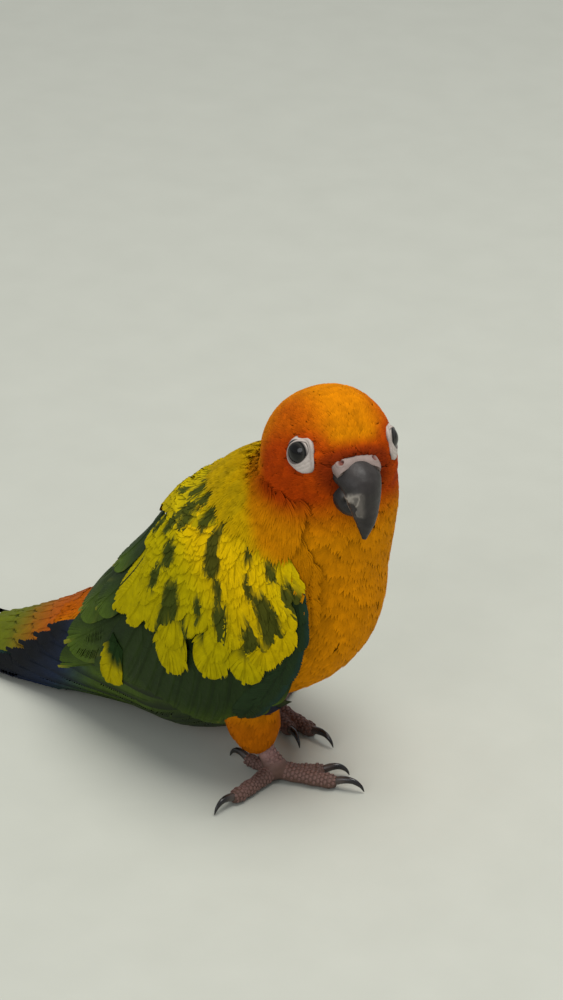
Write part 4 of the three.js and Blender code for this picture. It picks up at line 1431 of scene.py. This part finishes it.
def front_fans(coat, chart):
    """The breast's feathers over the wing's front edge."""

    def front_height(p, v):
        past = p - np.interp(v, *WING_EDGE)
        return mix(0.15, 0.3 + chart.height(p, v), ramp(past, -6, 2))

    v = np.repeat(np.arange(0.5, 0.86, 0.02), 3)
    p = np.interp(v, *WING_EDGE) + np.tile((-4.6, -3, -1.4), len(v) // 3)
    p = p + rng.normal(0, 0.4, len(v))
    lie = np.full(len(p), 0.6) + rng.normal(0, 0.1, len(p))
    long, wide = rng.uniform(3.6, 4.6, len(p)), rng.uniform(2.6, 3.2, len(p))
    chart_fans(coat, chart, p, v, long, wide, lie, front_height, collar_paint(chart))


# %% Painted shade under the coverts
def shade_sheet(coat, chart):
    """A dark sheet under the coverts closes the wing from below: painted shade filling the gaps between
    the feathers.
    """
    s = np.linspace(0, 1, 44)[:, None]
    c = np.linspace(0, 1, 16)[None]
    p = mix(1, 80, s)
    upper = np.interp(p, [1, 20, 45, 80], [0.2, 0.08, 0.1, 0.3])
    lower = np.interp(
        p, [1, 8, 14, 24, 34, 50, 62, 80], [0.7, 0.79, 0.82, 0.84, 0.855, 0.87, 0.86, 0.8]
    )
    v = mix(upper, lower, c)
    p = p + 0 * c
    # It lies low along its edges, so that no rim shows between the feathers
    inside = np.clip(4 * s, 0, 1) * np.clip(3 * c, 0, 1) * np.clip(3 - 3 * c, 0.2, 1)
    lift = chart.height(p, v) * (0.12 + 0.33 * inside)
    sheet, under = chart.place(p, v, lift + 0.1), chart.place(p, v, lift - 0.15)
    # Painted shade: a dark green made darker still
    tint = filled(mix(DEEP_GREEN, OLIVE, 0.3) * 0.6, p)
    add_plate(coat, sheet, under, tint, chart.patch(np.array(30.0), np.array(0.5)))


# %% Both wings
def wing_feathers(chart, name):
    long_coat, covert_coat, small_coat, mantle_coat = Coat(), Coat(), Coat(), Coat()
    flight_layer(long_coat, chart)
    covert_layer(covert_coat, chart)
    yellow_layer(small_coat, chart)
    count = arm_layer(small_coat, chart) + mantle_layer(mantle_coat, chart)
    collar_fans(mantle_coat, chart)
    front_fans(small_coat, chart)
    shade_sheet(small_coat, chart)
    print(name, "small coverts and mantle feathers:", count)
    for label, coat, material in (
        ("flight_feathers", long_coat, vane_feather),
        ("great_coverts", covert_coat, vane_feather),
        ("small_coverts", small_coat, down_feather),
        ("mantle_feathers", mantle_coat, down_feather),
    ):
        piece = coat.piece(label + "_" + name, material)
        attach(piece, "root")
        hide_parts("wing_" + name)


for name, fold in WINGS.items():
    wing_feathers(WingChart(fold), name)

# %% [markdown]
# ## Tail
# Six pairs of feathers lie one over the other, the middle pair longest and on top. They are green
# above and blue towards their outer edges, with dark ends. They could be copies of one feather, but
# each pair has its own length and width, so they are made as the wing's are, on a chart that
# follows the tail's line down to the floor.

# %% The tail's chart
TAIL_LINE = [(-66, 16), (-84, 9.6), (-105, 5), (-128, 2.6), (-154, 1.2), (-190, 0.05)]  # x, z
TAIL_LENGTH = 128
tail_row = blend(TAIL_LINE)


class TailChart:
    def place(self, p, across, h):
        p, across, h = np.broadcast_arrays(np.asarray(p, float), across, h)
        t = p / TAIL_LENGTH

        def line(s):
            # Before its root the line runs straight on, under the rump
            row = tail_row(s) + np.minimum(s, 0)[..., None] * (tail_row(0.01) - tail_row(0.0)) / 0.01
            return np.stack([row[..., 0], swing(row[..., 0]), row[..., 1]], -1)

        forward = unit(line(t - 0.01) - line(t + 0.01))
        left = unit(np.cross(UPWARDS, forward))
        # A shallow roof: the outer feathers lie lower
        rise = (h - mix(0.035, 0.012, t) * across**2)[..., None]
        return off_floor(line(t) + left * across[..., None] + np.cross(forward, left) * rise)

    def reach(self, p):
        return 1.0

    def height(self, p, across):
        return np.ones_like(np.asarray(p, float))

    def patch(self, p, across):
        return np.stack([0.04 + 0.92 * np.clip(p / 130, 0, 1), 0.5 + across / 30], -1)


# %% Tail feathers
def tail_paint(outer):
    def paint(s, c, p, v):
        tint = filled(mix(OLIVE, TEAL, outer) * 0.75, s)
        tint = over(tint, NAVY, ramp(s, 0.4, 0.8) * (0.6 + 0.4 * outer))
        return over(tint, SOOT, ramp(s, 0.8, 1.0))

    return paint


# Length, how far the tip stands aside, width and height
TAIL_PAIRS = [
    (128, 2.2, 8.6, 0.55), (116, 4.3, 8.4, 0.2), (101, 6, 8.2, -0.15), (85, 7.4, 8, -0.5),
    (70, 8.2, 7.6, -0.85), (56, 8.6, 7, -1.2),
]
TAIL_VANE = {
    "barbs": 90, "base": 0.7, "round": 0.55, "lean": 0.0, "sweep": 0.8, "ragged": 0.008,
    "split": 0.04, "blunt": 0.96,
}
tail_coat = Coat()
for i, (length, spread, width, height) in enumerate(TAIL_PAIRS):
    for side in (1, -1):
        root, tip = (2, side * (1 + 0.9 * i)), (length - 1, side * spread)
        layer = (height * 1.6 + 0.1, height * 0.6 + 0.15)
        spec = {"root": root, "tip": tip, "width": width, "layer": layer, **TAIL_VANE}
        vaned_feather(tail_coat, TailChart(), spec, tail_paint(i / 5))
print("tail feathers:", 2 * len(TAIL_PAIRS))

# %% Coverts over and under the tail's root
# Rows from the tail to the rump: where roots and tips lie, and their heights
TAIL_COVERTS = [
    (-4, 38, 6.8, 2.6), (-5, 29, 7.4, 4.2), (-6, 21, 8.0, 5.6), (-7, 13, 8.6, 6.8),
    (-8, 6, 9.2, 7.7),
]
COVERT_VANE = {"barbs": 30, "lean": 0.0, "split": 0.1, "blunt": 0.92}


def tail_covert_paint(s, c, p, v):
    """The rump's orange runs into the tail's green."""
    return over(filled(RUMP_ORANGE * 0.85, s), OLIVE * 0.8, ramp(p + 2 * np.abs(c), 6, 30))


for start, end, root_height, tip_height in TAIL_COVERTS:
    for k in np.arange(-3.5, 4):
        spec = {"root": (start, 2.7 * k), "tip": (end - 1.6 * abs(k), 2.7 * k), "width": 6.4}
        spec.update(COVERT_VANE, layer=(root_height, tip_height), round=0.6)
        vaned_feather(tail_coat, TailChart(), spec, tail_covert_paint)
for k in np.arange(-2.5, 3):
    spec = {"root": (-3, 2.6 * k), "tip": (46 - 3 * abs(k), 2.6 * k), "width": 7}
    spec.update(COVERT_VANE, layer=(-7.6, -2.2))
    vaned_feather(tail_coat, TailChart(), spec, flat_paint(mix(OLIVE, RUMP_ORANGE, 0.5)))
tail_piece = tail_coat.piece("tail_feathers", vane_feather)
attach(tail_piece, "root")
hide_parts("tail")

# %% [markdown]
# ## Eyes
# Each eyeball is round and wet, as deep as a real one, and most of it lies inside the head. A black
# pupil fills nearly all of the dark iris. The bare white skin round it is a ring with a raised lid
# edge and fine folds; it lies on the side of the head and runs out to a point in front. Both could
# be sculpted, but rings of points placed by formula meet each other and the head exactly.

# %% Painted finishes
RELIEF_DEPTH = 0.0002  # metres


def painted_finish(name, roughness, gloss, fleck, grain, relief):
    """Colour from the vertices, flecks from darkest to lightest, and a relief of grains, mm."""
    material, tree = new_material(name)
    tint = add_node(tree, "ShaderNodeAttribute", attribute_name="Tint", attribute_type="GEOMETRY")
    place = add_node(tree, "ShaderNodeTexCoord")
    noise = add_node(
        tree, "ShaderNodeTexNoise", {"Vector": place.outputs["Object"]},
        {"Scale": per_metre(grain), "Detail": 4},
    )
    shade = add_node(
        tree, "ShaderNodeMapRange", {"Value": noise.outputs["Fac"]},
        {"From Min": 0.3, "From Max": 0.7, "To Min": fleck[0], "To Max": fleck[1]},
    )
    colour = add_node(
        tree, "ShaderNodeVectorMath", {0: tint.outputs["Color"], "Scale": shade.outputs["Result"]},
        operation="SCALE",
    )
    bump = add_node(
        tree, "ShaderNodeBump", {"Height": noise.outputs["Fac"]},
        {"Strength": relief, "Distance": RELIEF_DEPTH},
    )
    shader = add_node(
        tree, "ShaderNodeBsdfPrincipled",
        {"Base Color": colour.outputs["Vector"], "Normal": bump.outputs["Normal"]},
        {"Roughness": roughness, "Specular IOR Level": gloss},
    )
    finish_with(tree, shader)
    print("finish:", name)
    return material


# %% A piece from rings
def ring_piece(name, rings, tint, material, replaced=None, closed_along=False):
    """A closed tube through rings (n, m, 3); it either closes on itself or has a cap at each end."""
    rows, around = rings.shape[:2]
    points = rings.reshape(-1, 3)
    tints = tint.reshape(-1, 3)
    faces = loft_faces(rows, around)
    if closed_along:
        last = (rows - 1) * around
        faces += [(last + j, last + (j + 1) % around, (j + 1) % around, j) for j in range(around)]
    triangles = [t for a, b, c, d in faces for t in ((a, b, c), (a, c, d))]
    if not closed_along:
        points = np.concatenate([points, rings[0].mean(0)[None], rings[-1].mean(0)[None]])
        tints = np.concatenate([tints, tint[0].mean(0)[None], tint[-1].mean(0)[None]])
        first, last = rows * around, rows * around + 1
        for j in range(around):
            k = (j + 1) % around
            triangles += [(k, j, first), ((rows - 1) * around + j, (rows - 1) * around + k, last)]
    triangles = np.array(triangles)
    a, b, c = (points[triangles[:, k]] - points.mean(0) for k in range(3))
    if (np.cross(a, b) * c).sum() < 0:
        triangles = triangles[:, ::-1]
    piece = mesh_piece(name, points, triangles, material, tints)
    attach(piece, "root")
    if replaced:
        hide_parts(replaced)


# %% Eyeballs
PUPIL_BLACK = linear("#0A0807")
IRIS_DARK = linear("#1D1917")
IRIS_RIM = linear("#35342F")
RING_WHITE = linear("#BDB2A9")
PUPIL, IRIS, RIM, WHITE_FROM = (1.75, 2.0), (2.15, 2.4), (2.5, 2.7), (3.0, 3.1)  # from the axis
# Tear film over the clear cornea: mirror smooth, so the lights stand in it as small sharp spots
wet_eye = painted_finish("wet eye", 0.1, 0.32, (0.98, 1.02), grain=1.667, relief=0.0)


def eyeball(name, side):
    opening = np.array([RING_MIDDLE[0], 0, RING_MIDDLE[1]]) - EYE_PLACE * [1, 0, 1]
    axis = unit(opening * [1, 0, 1] + np.array([0, side * 4.1, 0]))
    across = unit(np.cross(axis, UPWARDS))
    rise = np.cross(across, axis)
    polar = np.linspace(0.02, np.pi - 0.02, 60)[:, None]
    around = np.linspace(0, 2 * np.pi, 64, endpoint=False)[None]
    # The clear front of the eye stands out a little from the ball
    radius = EYE_RADIUS + 0.18 * np.exp(-((polar / 0.5) ** 2))
    out = axis * np.cos(polar)[..., None]
    circle = across * np.cos(around)[..., None] + rise * np.sin(around)[..., None]
    ring = out + np.sin(polar)[..., None] * circle
    rings = head_world(ring * radius[..., None] + EYE_PLACE * [1, side, 1])
    reach = EYE_RADIUS * np.sin(polar) + 0 * around
    reach = np.where(polar > 1.5, EYE_RADIUS, reach)
    tint = over(filled(PUPIL_BLACK, reach), IRIS_DARK, ramp(reach, *PUPIL))
    tint = over(tint, IRIS_RIM, ramp(reach, *IRIS) * 0.7)
    tint = over(tint, PUPIL_BLACK, ramp(reach, *RIM))
    tint = over(tint, RING_WHITE, ramp(reach, *WHITE_FROM))
    ring_piece(name, rings, tint, wet_eye, name.replace("eyeball", "eye"))


eyeball("eyeball_right", -1)
eyeball("eyeball_left", 1)

# %% Bare rings and lids
RING_SHADE = linear("#A0928A")
LID_GREY = linear("#6F6560")
# Thin folded skin without feathers: soft and chalky
bare_skin = painted_finish("bare ring skin", 0.55, 0.3, (0.94, 1.04), grain=0.6667, relief=0.25)


def bare_ring(name, side):
    a = np.linspace(0, 2 * np.pi, 96, endpoint=False)
    outer = ring_reach(a)
    # Stations from the ball outwards, then back beneath: reach, height over the surface
    inner = oval(a)
    stations = [(2.3 * inner, -0.3), (2.56 * inner, 0.02), (2.64 * inner, 0.12), (2.74 * inner, 0.16)]
    for k in np.linspace(0, 1, 12)[1:]:
        stations.append((mix(2.78 * inner, outer, k), mix(0.15, 0.02, min(1, k * 2))))
    stations += [(outer + 0.3, -0.45), (mix(2.8 * inner, outer, 0.5), -1.2), (2.3 * inner, -1.2)]
    rings, tints = [], []
    for i, (reach, height) in enumerate(stations):
        x, z = RING_MIDDLE[0] + reach * np.cos(a), RING_MIDDLE[1] + reach * np.sin(a)
        gap = EYE_RADIUS**2 - (x - EYE_PLACE[0]) ** 2 - (z - EYE_PLACE[2]) ** 2
        ball = EYE_PLACE[1] + np.sqrt(np.maximum(gap, 0.5))
        flat = head_side(x, z)
        level = flat + 0.3 * np.logaddexp(0, (ball + 0.04 - flat) / 0.3)
        # Folds run round the eye, broken by radial creases
        fold = 0.07 * np.sin(reach * 7.5 + 0.6 * np.sin(5 * a))
        fold = fold + 0.035 * np.sin(23 * a + 2 * np.sin(3 * a))
        fold = 0.6 * fold * ramp(reach, 2.8 * inner, 3.1 * inner)
        fold = fold * ramp(reach, outer + 0.1, outer - 0.4)
        y = side * (level + height + fold)
        rings.append(head_world(np.stack([x, y, z], -1)))
        tint = over(filled(RING_WHITE, a), LID_GREY, ramp(reach, 2.7 * inner, 2.6 * inner))
        # Painted shade in the hollows of the folds, and towards the outer edge where the ring tucks
        # under the feathers
        shade = 0.5 * ramp(-fold, 0.0, 0.08) + 0.5 * ramp(reach, outer - 0.7, outer)
        tints.append(over(tint, RING_SHADE, shade))
    ring_piece(name, np.stack(rings), np.stack(tints), bare_skin, closed_along=True)


bare_ring("eye_ring_right", -1)
bare_ring("eye_ring_left", 1)

# %% [markdown]
# ## Bill and cere
# The upper bill is a keeled hook of dark horn. Its side is scuffed and a patch of old horn peels off
# near the gape. The lower bill is short and tucked in behind it. The cere is a thin band of pale
# bare skin over the root, with a round nostril on each side. A sculpted bill would do as well; one
# swept through rows of sizes can be compared with the solid row by row, and takes its wear from
# smooth uneven waves.

# %% Bill
BILL_DARK = linear("#302C2A")
BILL_EDGE = linear("#78706A")
BILL_FLAKE = linear("#A69D92")
BILL_TIP = linear("#25211F")
# Layered horn, worn dull by use: satin, with paler scuffs
bill_horn = painted_finish("bill horn", 0.46, 0.32, (0.85, 1.12), grain=1.429, relief=0.4)


def rough(points, size, seed):
    """A smooth uneven value between about -1 and 1; size is the longest wave's length."""
    waves = np.random.default_rng(seed)
    value = 0
    for octave in range(3):
        for _ in range(4):
            direction = unit(waves.normal(size=3)) * (2 * math.pi / size) * 2**octave
            value = value + np.sin(points @ direction + waves.uniform(0, 6.3)) / 2**octave / 3.4
    return value


def bill_rings(rows, steps, around, keel, under):
    """Rings, with each point's share of the length and angle; the keel pinches the top."""
    row = blend(rows)
    t = np.linspace(0, 1, steps)
    centre = row(t)[:, :3]
    forward = unit(row(np.minimum(1, t + 0.01))[:, :3] - row(np.maximum(0, t - 0.01))[:, :3])
    side = np.tile([0, 1.0, 0], (steps, 1))
    up = unit(np.cross(forward, side))
    a = np.linspace(0, 2 * np.pi, around, endpoint=False)[None]
    wide = row(t)[:, 3:4] * np.cos(a) * (1 - keel * np.maximum(0, np.sin(a)) ** 1.5)
    tall = row(t)[:, 4:5] * np.where(np.sin(a) < 0, np.sin(a) * under, np.sin(a))
    ring = centre[:, None] + side[:, None] * wide[..., None] + up[:, None] * tall[..., None]
    return ring, t[:, None] + 0 * a, a + 0 * t[:, None]


# %% Upper bill
# Middle, half width and half height in the head's frame
UPPER_BILL = [
    (10, 0, -5.2, 5.8, 3.9), (15.6, 0, -5.5, 5.8, 3.9), (18.3, 0.1, -8, 4.8, 3.9),
    (19, 0.4, -12, 3.8, 2.9), (19.3, 0.6, -16, 2.5, 1.9), (18.7, 0.5, -20.4, 0.55, 0.45),
]
ring, t, a = bill_rings(UPPER_BILL, 90, 90, 0.2, 0.85)
out = unit(ring - ring.mean(1, keepdims=True))
flake = ramp(rough(ring, 5.712, 4), -0.5, -0.3) * ramp(t, 0.42, 0.48) * ramp(t, 0.74, 0.66)
flake = flake * ramp(-np.sin(a), -0.98, -0.8) * ramp(-np.cos(a), -0.05, 0.15)
growth = 0.02 * np.sin(t * 70 + 2 * rough(ring, 12.566, 6))
ring = ring + out * (0.16 * flake + 0.035 * rough(ring, 3.927, 5) + growth)[..., None]
tint = filled(BILL_DARK, t) * (1 + 0.35 * rough(ring * [1, 1.5, 0.3], 6.981, 7))[..., None]
tint = over(tint, BILL_TIP, ramp(t, 0.8, 1.0) * 0.8)
cutting_edge = np.exp(-(((np.sin(a) + 0.45) / 0.22) ** 2)) * ramp(t, 0.3, 0.5) * ramp(t, 0.98, 0.8)
tint = over(tint, BILL_EDGE, cutting_edge * 0.7)
# Pale cracks run through the peeling patch
crack = ramp(np.abs(rough(ring * [1, 1, 0.6], 3.927, 8)), 0.3, 0.05)
tint = over(tint, BILL_FLAKE, flake * (0.3 + 0.6 * crack))
ring_piece("upper_bill", head_world(ring), tint, bill_horn, "bill_upper")

# %% Lower bill
LOWER_BILL = [
    (8, 0, -8.8, 5.6, 4.2), (12.8, 0, -10.4, 5.7, 4.5), (16, 0, -12.2, 4.8, 3.7),
    (17.6, 0, -12.2, 2.9, 1.6),
]
ring, t, a = bill_rings(LOWER_BILL, 50, 72, 0.0, 1.0)
out = unit(ring - ring.mean(1, keepdims=True))
ring = ring + out * (0.04 * rough(ring, 4.189, 9))[..., None]
# Painted shade: the lower bill is drawn darker than the upper, as it lies tucked in under it
tint = filled(BILL_DARK * 0.7, t) * (1 + 0.14 * rough(ring, 6.981, 7))[..., None]
cutting_edge = np.exp(-(((np.sin(a) - 0.75) / 0.18) ** 2)) * ramp(t, 0.4, 0.6)
tint = over(tint, BILL_EDGE, cutting_edge * 0.7)
ring_piece("lower_bill", head_world(ring), tint, bill_horn, "bill_lower")

# %% Cere
CERE_PALE = linear("#8C7B74")
CERE_SHADE = linear("#75635B")
NOSTRIL_SHADE_RED = linear("#6B3327")
CERE = [(12, 0, -3.1, 6.0, 3.4), (15.4, 0, -3.7, 6.0, 3.3), (17.0, 0, -4.9, 5.5, 2.9)]
NOSTRIL = np.array([16.1, 4.3, -1.9])
# Bare skin, dry and a little waxy
cere_skin = painted_finish("cere skin", 0.55, 0.3, (0.93, 1.05), grain=0.6667, relief=0.4)

ring, t, a = bill_rings(CERE, 60, 120, 0.0, 1.0)
ring[..., 0] -= 2.1 * np.maximum(0, np.sin(a)) ** 3 * t  # cut back at the top, as on the bird
out = unit(ring - ring.mean(1, keepdims=True))
to_nostril = np.linalg.norm(ring * [1, 0, 1] + np.abs(ring) * [0, 1, 0] - NOSTRIL, axis=-1)
dent = -0.75 * ramp(to_nostril, 0.8, 0.4) + 0.14 * np.exp(-(((to_nostril - 1.0) / 0.25) ** 2))
ring = ring + out * (dent + 0.05 * rough(ring, 2.856, 10))[..., None]
tint = filled(CERE_PALE, t) * (1 + 0.08 * rough(ring, 4.189, 11))[..., None]
tint = over(tint, CERE_SHADE, ramp(t, 0.9, 1.0) * 0.6 + ramp(rough(ring, 2.513, 12), 0.2, 0.7) * 0.3)
# Dark reddish in the nostril: painted shade in its hollow
tint = over(tint, NOSTRIL_SHADE_RED, ramp(to_nostril, 0.85, 0.55))
ring_piece("cere_band", head_world(ring), tint, cere_skin, "cere")

# %% [markdown]
# ## Feet
# Each foot is a shank and four toes, two to the front and two to the back, fused like the body. Low
# rounded scutes lie in rows over the toes and up the front of the shank. There are hundreds, so a
# small node tree sets one pebble on every point of a list, which is quicker to change than copies
# placed by hand.

# %% Toes
# Direction in degrees from the foot's own, length, radius and claw length
TOES = {
    "2": (-16, 12.5, 2.0, 6.0), "3": (4, 16, 2.1, 7.0),
    "4": (118, 16, 2.0, 6.5), "1": (-152, 9.5, 1.8, 5.5),
}
FOOT_VOXEL = 0.00045  # metres
FOOT_MAUVE = linear("#62493F")
FOOT_DARK = linear("#4B3731")
FOOT_PINK = linear("#A17C76")
# Dry scaled skin: matt in the creases, with a dull shine on each scute
foot_skin = painted_finish("scaled foot skin", 0.55, 0.3, (0.88, 1.08), grain=0.6667, relief=0.5)


def toe_line(foot, toe):
    """The toe's middle line: x, y, height, half width, half height, with a swelling at each joint."""
    angle, length, radius, _ = TOES[toe]
    heading = foot["side"] * math.radians(foot["turn"] + angle)
    x, y = foot["ball"]
    shares = [0, 0.16, 0.3, 0.46, 0.62, 0.75, 0.86, 1]
    highs = [2.8, 2.5, 2.25, 2.0, 1.95, 1.8, 1.85, 1.7]
    fats = [1.1, 1.0, 1.02, 0.88, 0.98, 0.85, 0.96, 0.6]
    rows = []
    for s, high, fat in zip(shares, highs, fats):
        toe_x, toe_y = x + length * s * math.cos(heading), y + length * s * math.sin(heading)
        rows.append((toe_x, toe_y, high, fat * radius, fat * radius))
    return rows


def shank_line(foot):
    x, y = foot["ball"]
    return [(x - 5, y, 10, 2.5, 2.4), (x - 2.5, y, 6.7, 2.3, 2.2), (x, y, 3.4, 3.1, 2.8)]


def foot_mesh(name, foot):
    parts = [loft_mesh("toe", tube_rings(toe_line(foot, toe), 32, 20)) for toe in TOES]
    parts.append(loft_mesh("shank", tube_rings(shank_line(foot), 20, 20)))
    x, y = foot["ball"]
    palm = [
        (x - 2.6, y, 3, 1.5, 1.5), (x - 1.4, y, 3.1, 3, 2.9), (x + 1, y, 3.1, 3.3, 3),
        (x + 2.8, y, 2.8, 1.6, 1.6),
    ]
    parts.append(loft_mesh("palm", tube_rings(palm, 16, 20)))
    points, faces = mesh_arrays(fused(parts, FOOT_VOXEL))
    points = off_floor(points)
    height = points[:, 2]
    tint = over(filled(FOOT_MAUVE, height), FOOT_PINK, ramp(height, 4.5, 8))
    # Random dark dirt, and painted shade on the lowest part of the foot where the toes meet the floor
    dirt_and_floor_shade = 0.55 * ramp(rough(points, 8.976, 13), 0.1, 0.8) + 0.4 * ramp(height, 1.6, 0.6)
    piece = mesh_piece(name, points, faces, foot_skin, over(tint, FOOT_DARK, dirt_and_floor_shade))
    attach(piece, "root")
    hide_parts(name.replace("foot_form", "foot"))


for name, foot in FEET.items():
    foot_mesh("foot_form_" + name, foot)

# %% Scutes by nodes
def scute_tree():
    tree = bpy.data.node_groups.new("scutes on points", "GeometryNodeTree")
    for label, kind in (
        ("Geometry", "NodeSocketGeometry"), ("Scute Size", "NodeSocketFloat"),
        ("Seed", "NodeSocketInt"), ("Material", "NodeSocketMaterial"),
    ):
        tree.interface.new_socket(name=label, in_out="INPUT", socket_type=kind)
    tree.interface.new_socket(name="Geometry", in_out="OUTPUT", socket_type="NodeSocketGeometry")
    given = add_node(tree, "NodeGroupInput")
    pebble = add_node(
        tree, "GeometryNodeMeshIcoSphere", {"Radius": given.outputs["Scute Size"]}, {"Subdivisions": 2}
    )
    turn, size = (
        add_node(
            tree, "GeometryNodeInputNamedAttribute", values={"Name": label}, data_type="FLOAT_VECTOR"
        )
        for label in ("turn", "size")
    )
    rotation = add_node(tree, "FunctionNodeEulerToRotation", {"Euler": turn.outputs["Attribute"]})
    chance = add_node(
        tree, "FunctionNodeRandomValue", {"Seed": given.outputs["Seed"]}, {2: 0.88, 3: 1.1},
        data_type="FLOAT",
    )
    varied = add_node(
        tree, "ShaderNodeVectorMath", {0: size.outputs["Attribute"], "Scale": chance.outputs[1]},
        operation="SCALE",
    )
    spread = add_node(
        tree, "GeometryNodeInstanceOnPoints",
        {
            "Points": given.outputs["Geometry"], "Instance": pebble.outputs["Mesh"],
            "Rotation": rotation.outputs["Rotation"], "Scale": varied.outputs["Vector"],
        },
    )
    real = add_node(tree, "GeometryNodeRealizeInstances", {"Geometry": spread.outputs["Instances"]})
    soft = add_node(tree, "GeometryNodeSetShadeSmooth", {"Geometry": real.outputs["Geometry"]})
    dressed = add_node(
        tree, "GeometryNodeSetMaterial",
        {"Geometry": soft.outputs["Geometry"], "Material": given.outputs["Material"]},
    )
    add_node(tree, "NodeGroupOutput", {"Geometry": dressed.outputs["Geometry"]})
    print("scute tree:", len(tree.nodes), "nodes")
    return tree


# %% Where the scutes lie
def scute_spots(line, spacing, angles, first, last):
    """Places, turns and sizes of scutes laid in rings over a limb."""
    row = blend(line)
    shares = np.linspace(0, 1, 400)
    steps = np.linalg.norm(np.diff(row(shares)[:, :3], axis=0), axis=1)
    walked = np.concatenate([[0], np.cumsum(steps)])
    spots, turns, sizes = [], [], []
    for step, distance in enumerate(np.arange(first, walked[-1] - last, spacing)):
        t = float(np.interp(distance, walked, shares))
        here = row(np.array(t))
        forward = unit(row(np.array(min(1, t + 0.01)))[:3] - row(np.array(max(0, t - 0.01)))[:3])
        side = unit(np.cross(UPWARDS, forward))
        up = np.cross(forward, side)
        shift = 0.5 * (step % 2) * (angles[1] - angles[0])
        for angle in np.radians(np.array(angles) + shift):
            out = side * math.sin(angle) + up * math.cos(angle)
            spots.append(here[:3] + out * (here[3] - 0.03))
            axes = Matrix(np.stack([forward, np.cross(out, forward), out], 1).tolist())
            turns.append(tuple(axes.to_euler()))
            wide = here[3] * abs(math.radians(angles[1] - angles[0])) * 0.46
            sizes.append((spacing * 0.47, wide, 0.19))
    return spots, turns, sizes


# %% Scuted feet
TOE_SCUTES = {"spacing": 0.95, "angles": (-88, -52, -17, 17, 52, 88), "first": 3.0, "last": 0.6}
SHANK_SCUTES = {"spacing": 1.1, "angles": (-60, -30, 0, 30, 60), "first": 1.2, "last": 1.0}


def scutes(name, foot, tree):
    limbs = [scute_spots(toe_line(foot, toe), **TOE_SCUTES) for toe in TOES]
    limbs.append(scute_spots(shank_line(foot), **SHANK_SCUTES))
    spots, turns, sizes = (sum(column, []) for column in zip(*limbs))
    mesh = bpy.data.meshes.new(name)
    mesh.from_pydata(placed(np.array(spots)).tolist(), [], [])
    for label, values in (("turn", turns), ("size", sizes)):
        mesh.attributes.new(label, "FLOAT_VECTOR", "POINT")
        mesh.attributes[label].data.foreach_set("vector", np.array(values, np.float32).ravel())
    carrier = bpy.data.objects.new(name, mesh)
    scene.collection.objects.link(carrier)
    modifier = carrier.modifiers.new("scutes", "NODES")
    modifier.node_group = tree
    sockets = [item for item in tree.interface.items_tree if item.in_out == "INPUT"]
    inputs = {item.name: item.identifier for item in sockets}
    modifier[inputs["Scute Size"]] = 0.001  # a pebble of 1 mm, which each point scales
    modifier[inputs["Seed"]] = 5
    modifier[inputs["Material"]] = foot_skin
    points, faces = mesh_arrays(finished_mesh(carrier))
    height = points[:, 2]
    tone = over(filled(mix(FOOT_MAUVE, FOOT_PINK, 0.25), height), FOOT_PINK, ramp(height, 5, 8.5) * 0.8)
    tone = over(tone, FOOT_DARK, 0.5 * ramp(rough(points, 12.566, 14), 0.0, 0.8))
    piece = mesh_piece(name, off_floor(points), faces, foot_skin, tone)
    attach(piece, "root")


tree = scute_tree()
for name, foot in FEET.items():
    scutes("foot_scutes_" + name, foot, tree)

# %% [markdown]
# ## Claws
# Each toe ends in a long curved claw. A cone bent by a modifier would do, but the same rings that
# made the toes follow the curve exactly and end in a point that just clears the floor.

# %% Claws
CLAW_BLACK = linear("#1B1817")
CLAW_ROOT = linear("#4A403B")
# Out from the toe's end for a claw of 6 mm, height of the middle, half height
CLAW_MODEL = 6
CLAW = [(-1.2, 1.9, 1.12), (1.2, 2.9, 1.0), (3.4, 3.0, 0.78), (5.1, 1.95, 0.48), (5.9, 0.45, 0.12)]
CLAW_STEPS, CLAW_AROUND = 28, 20
# Hard horn polished by wear: black, with a bright line of light along its back
claw_horn = painted_finish("claw horn", 0.25, 0.5, (0.95, 1.04), grain=1.111, relief=0.1)
share = np.linspace(0, 1, CLAW_STEPS)[:, None, None] + np.zeros((CLAW_STEPS, CLAW_AROUND, 1))
claw_tint = mix(CLAW_ROOT, CLAW_BLACK, ramp(share, 0.15, 0.45))

for name, foot in FEET.items():
    for toe, (angle, length, radius, claw) in TOES.items():
        heading = foot["side"] * math.radians(foot["turn"] + angle)
        x, y = foot["ball"]
        rows = []
        for out, high, fat in CLAW:
            reach = length + out * claw / CLAW_MODEL
            claw_x, claw_y = x + reach * math.cos(heading), y + reach * math.sin(heading)
            rows.append((claw_x, claw_y, high, fat * 0.85, fat))
        rings = off_floor(tube_rings(rows, CLAW_STEPS, CLAW_AROUND))
        solid = f"claw_{name}_{toe}"
        ring_piece(f"talon_{name}_{toe}", rings, claw_tint, claw_horn, solid)

# %% [markdown]
# ## The floor it stands on
# A curved backdrop would hide the horizon, but the camera looks down and sees none. So one flat pale
# matt sheet does: it catches the soft shadow, and is wide enough to fill the view from any side.

# %% Floor
# Matt painted board: even, with broad faint clouds
CLOUD_SIZE = 16.67
floor_material, tree = new_material("pale matt floor")
place = add_node(tree, "ShaderNodeTexCoord")
clouds = add_node(
    tree, "ShaderNodeTexNoise", {"Vector": place.outputs["Object"]},
    {"Scale": per_metre(CLOUD_SIZE), "Detail": 4},
)
tone = add_node(
    tree, "ShaderNodeMix", {0: clouds.outputs["Fac"]}, {6: rgba("#B9BBB0"), 7: rgba("#C1C3B8")},
    data_type="RGBA",
)
shader = add_node(tree, "ShaderNodeBsdfPrincipled", {"Base Color": tone.outputs[2]}, {"Roughness": 0.7})
finish_with(tree, shader)
bpy.ops.mesh.primitive_plane_add(size=8, location=(0, 0, 0))
floor = bpy.context.object
floor.name = "floor"
floor.data.materials.append(floor_material)
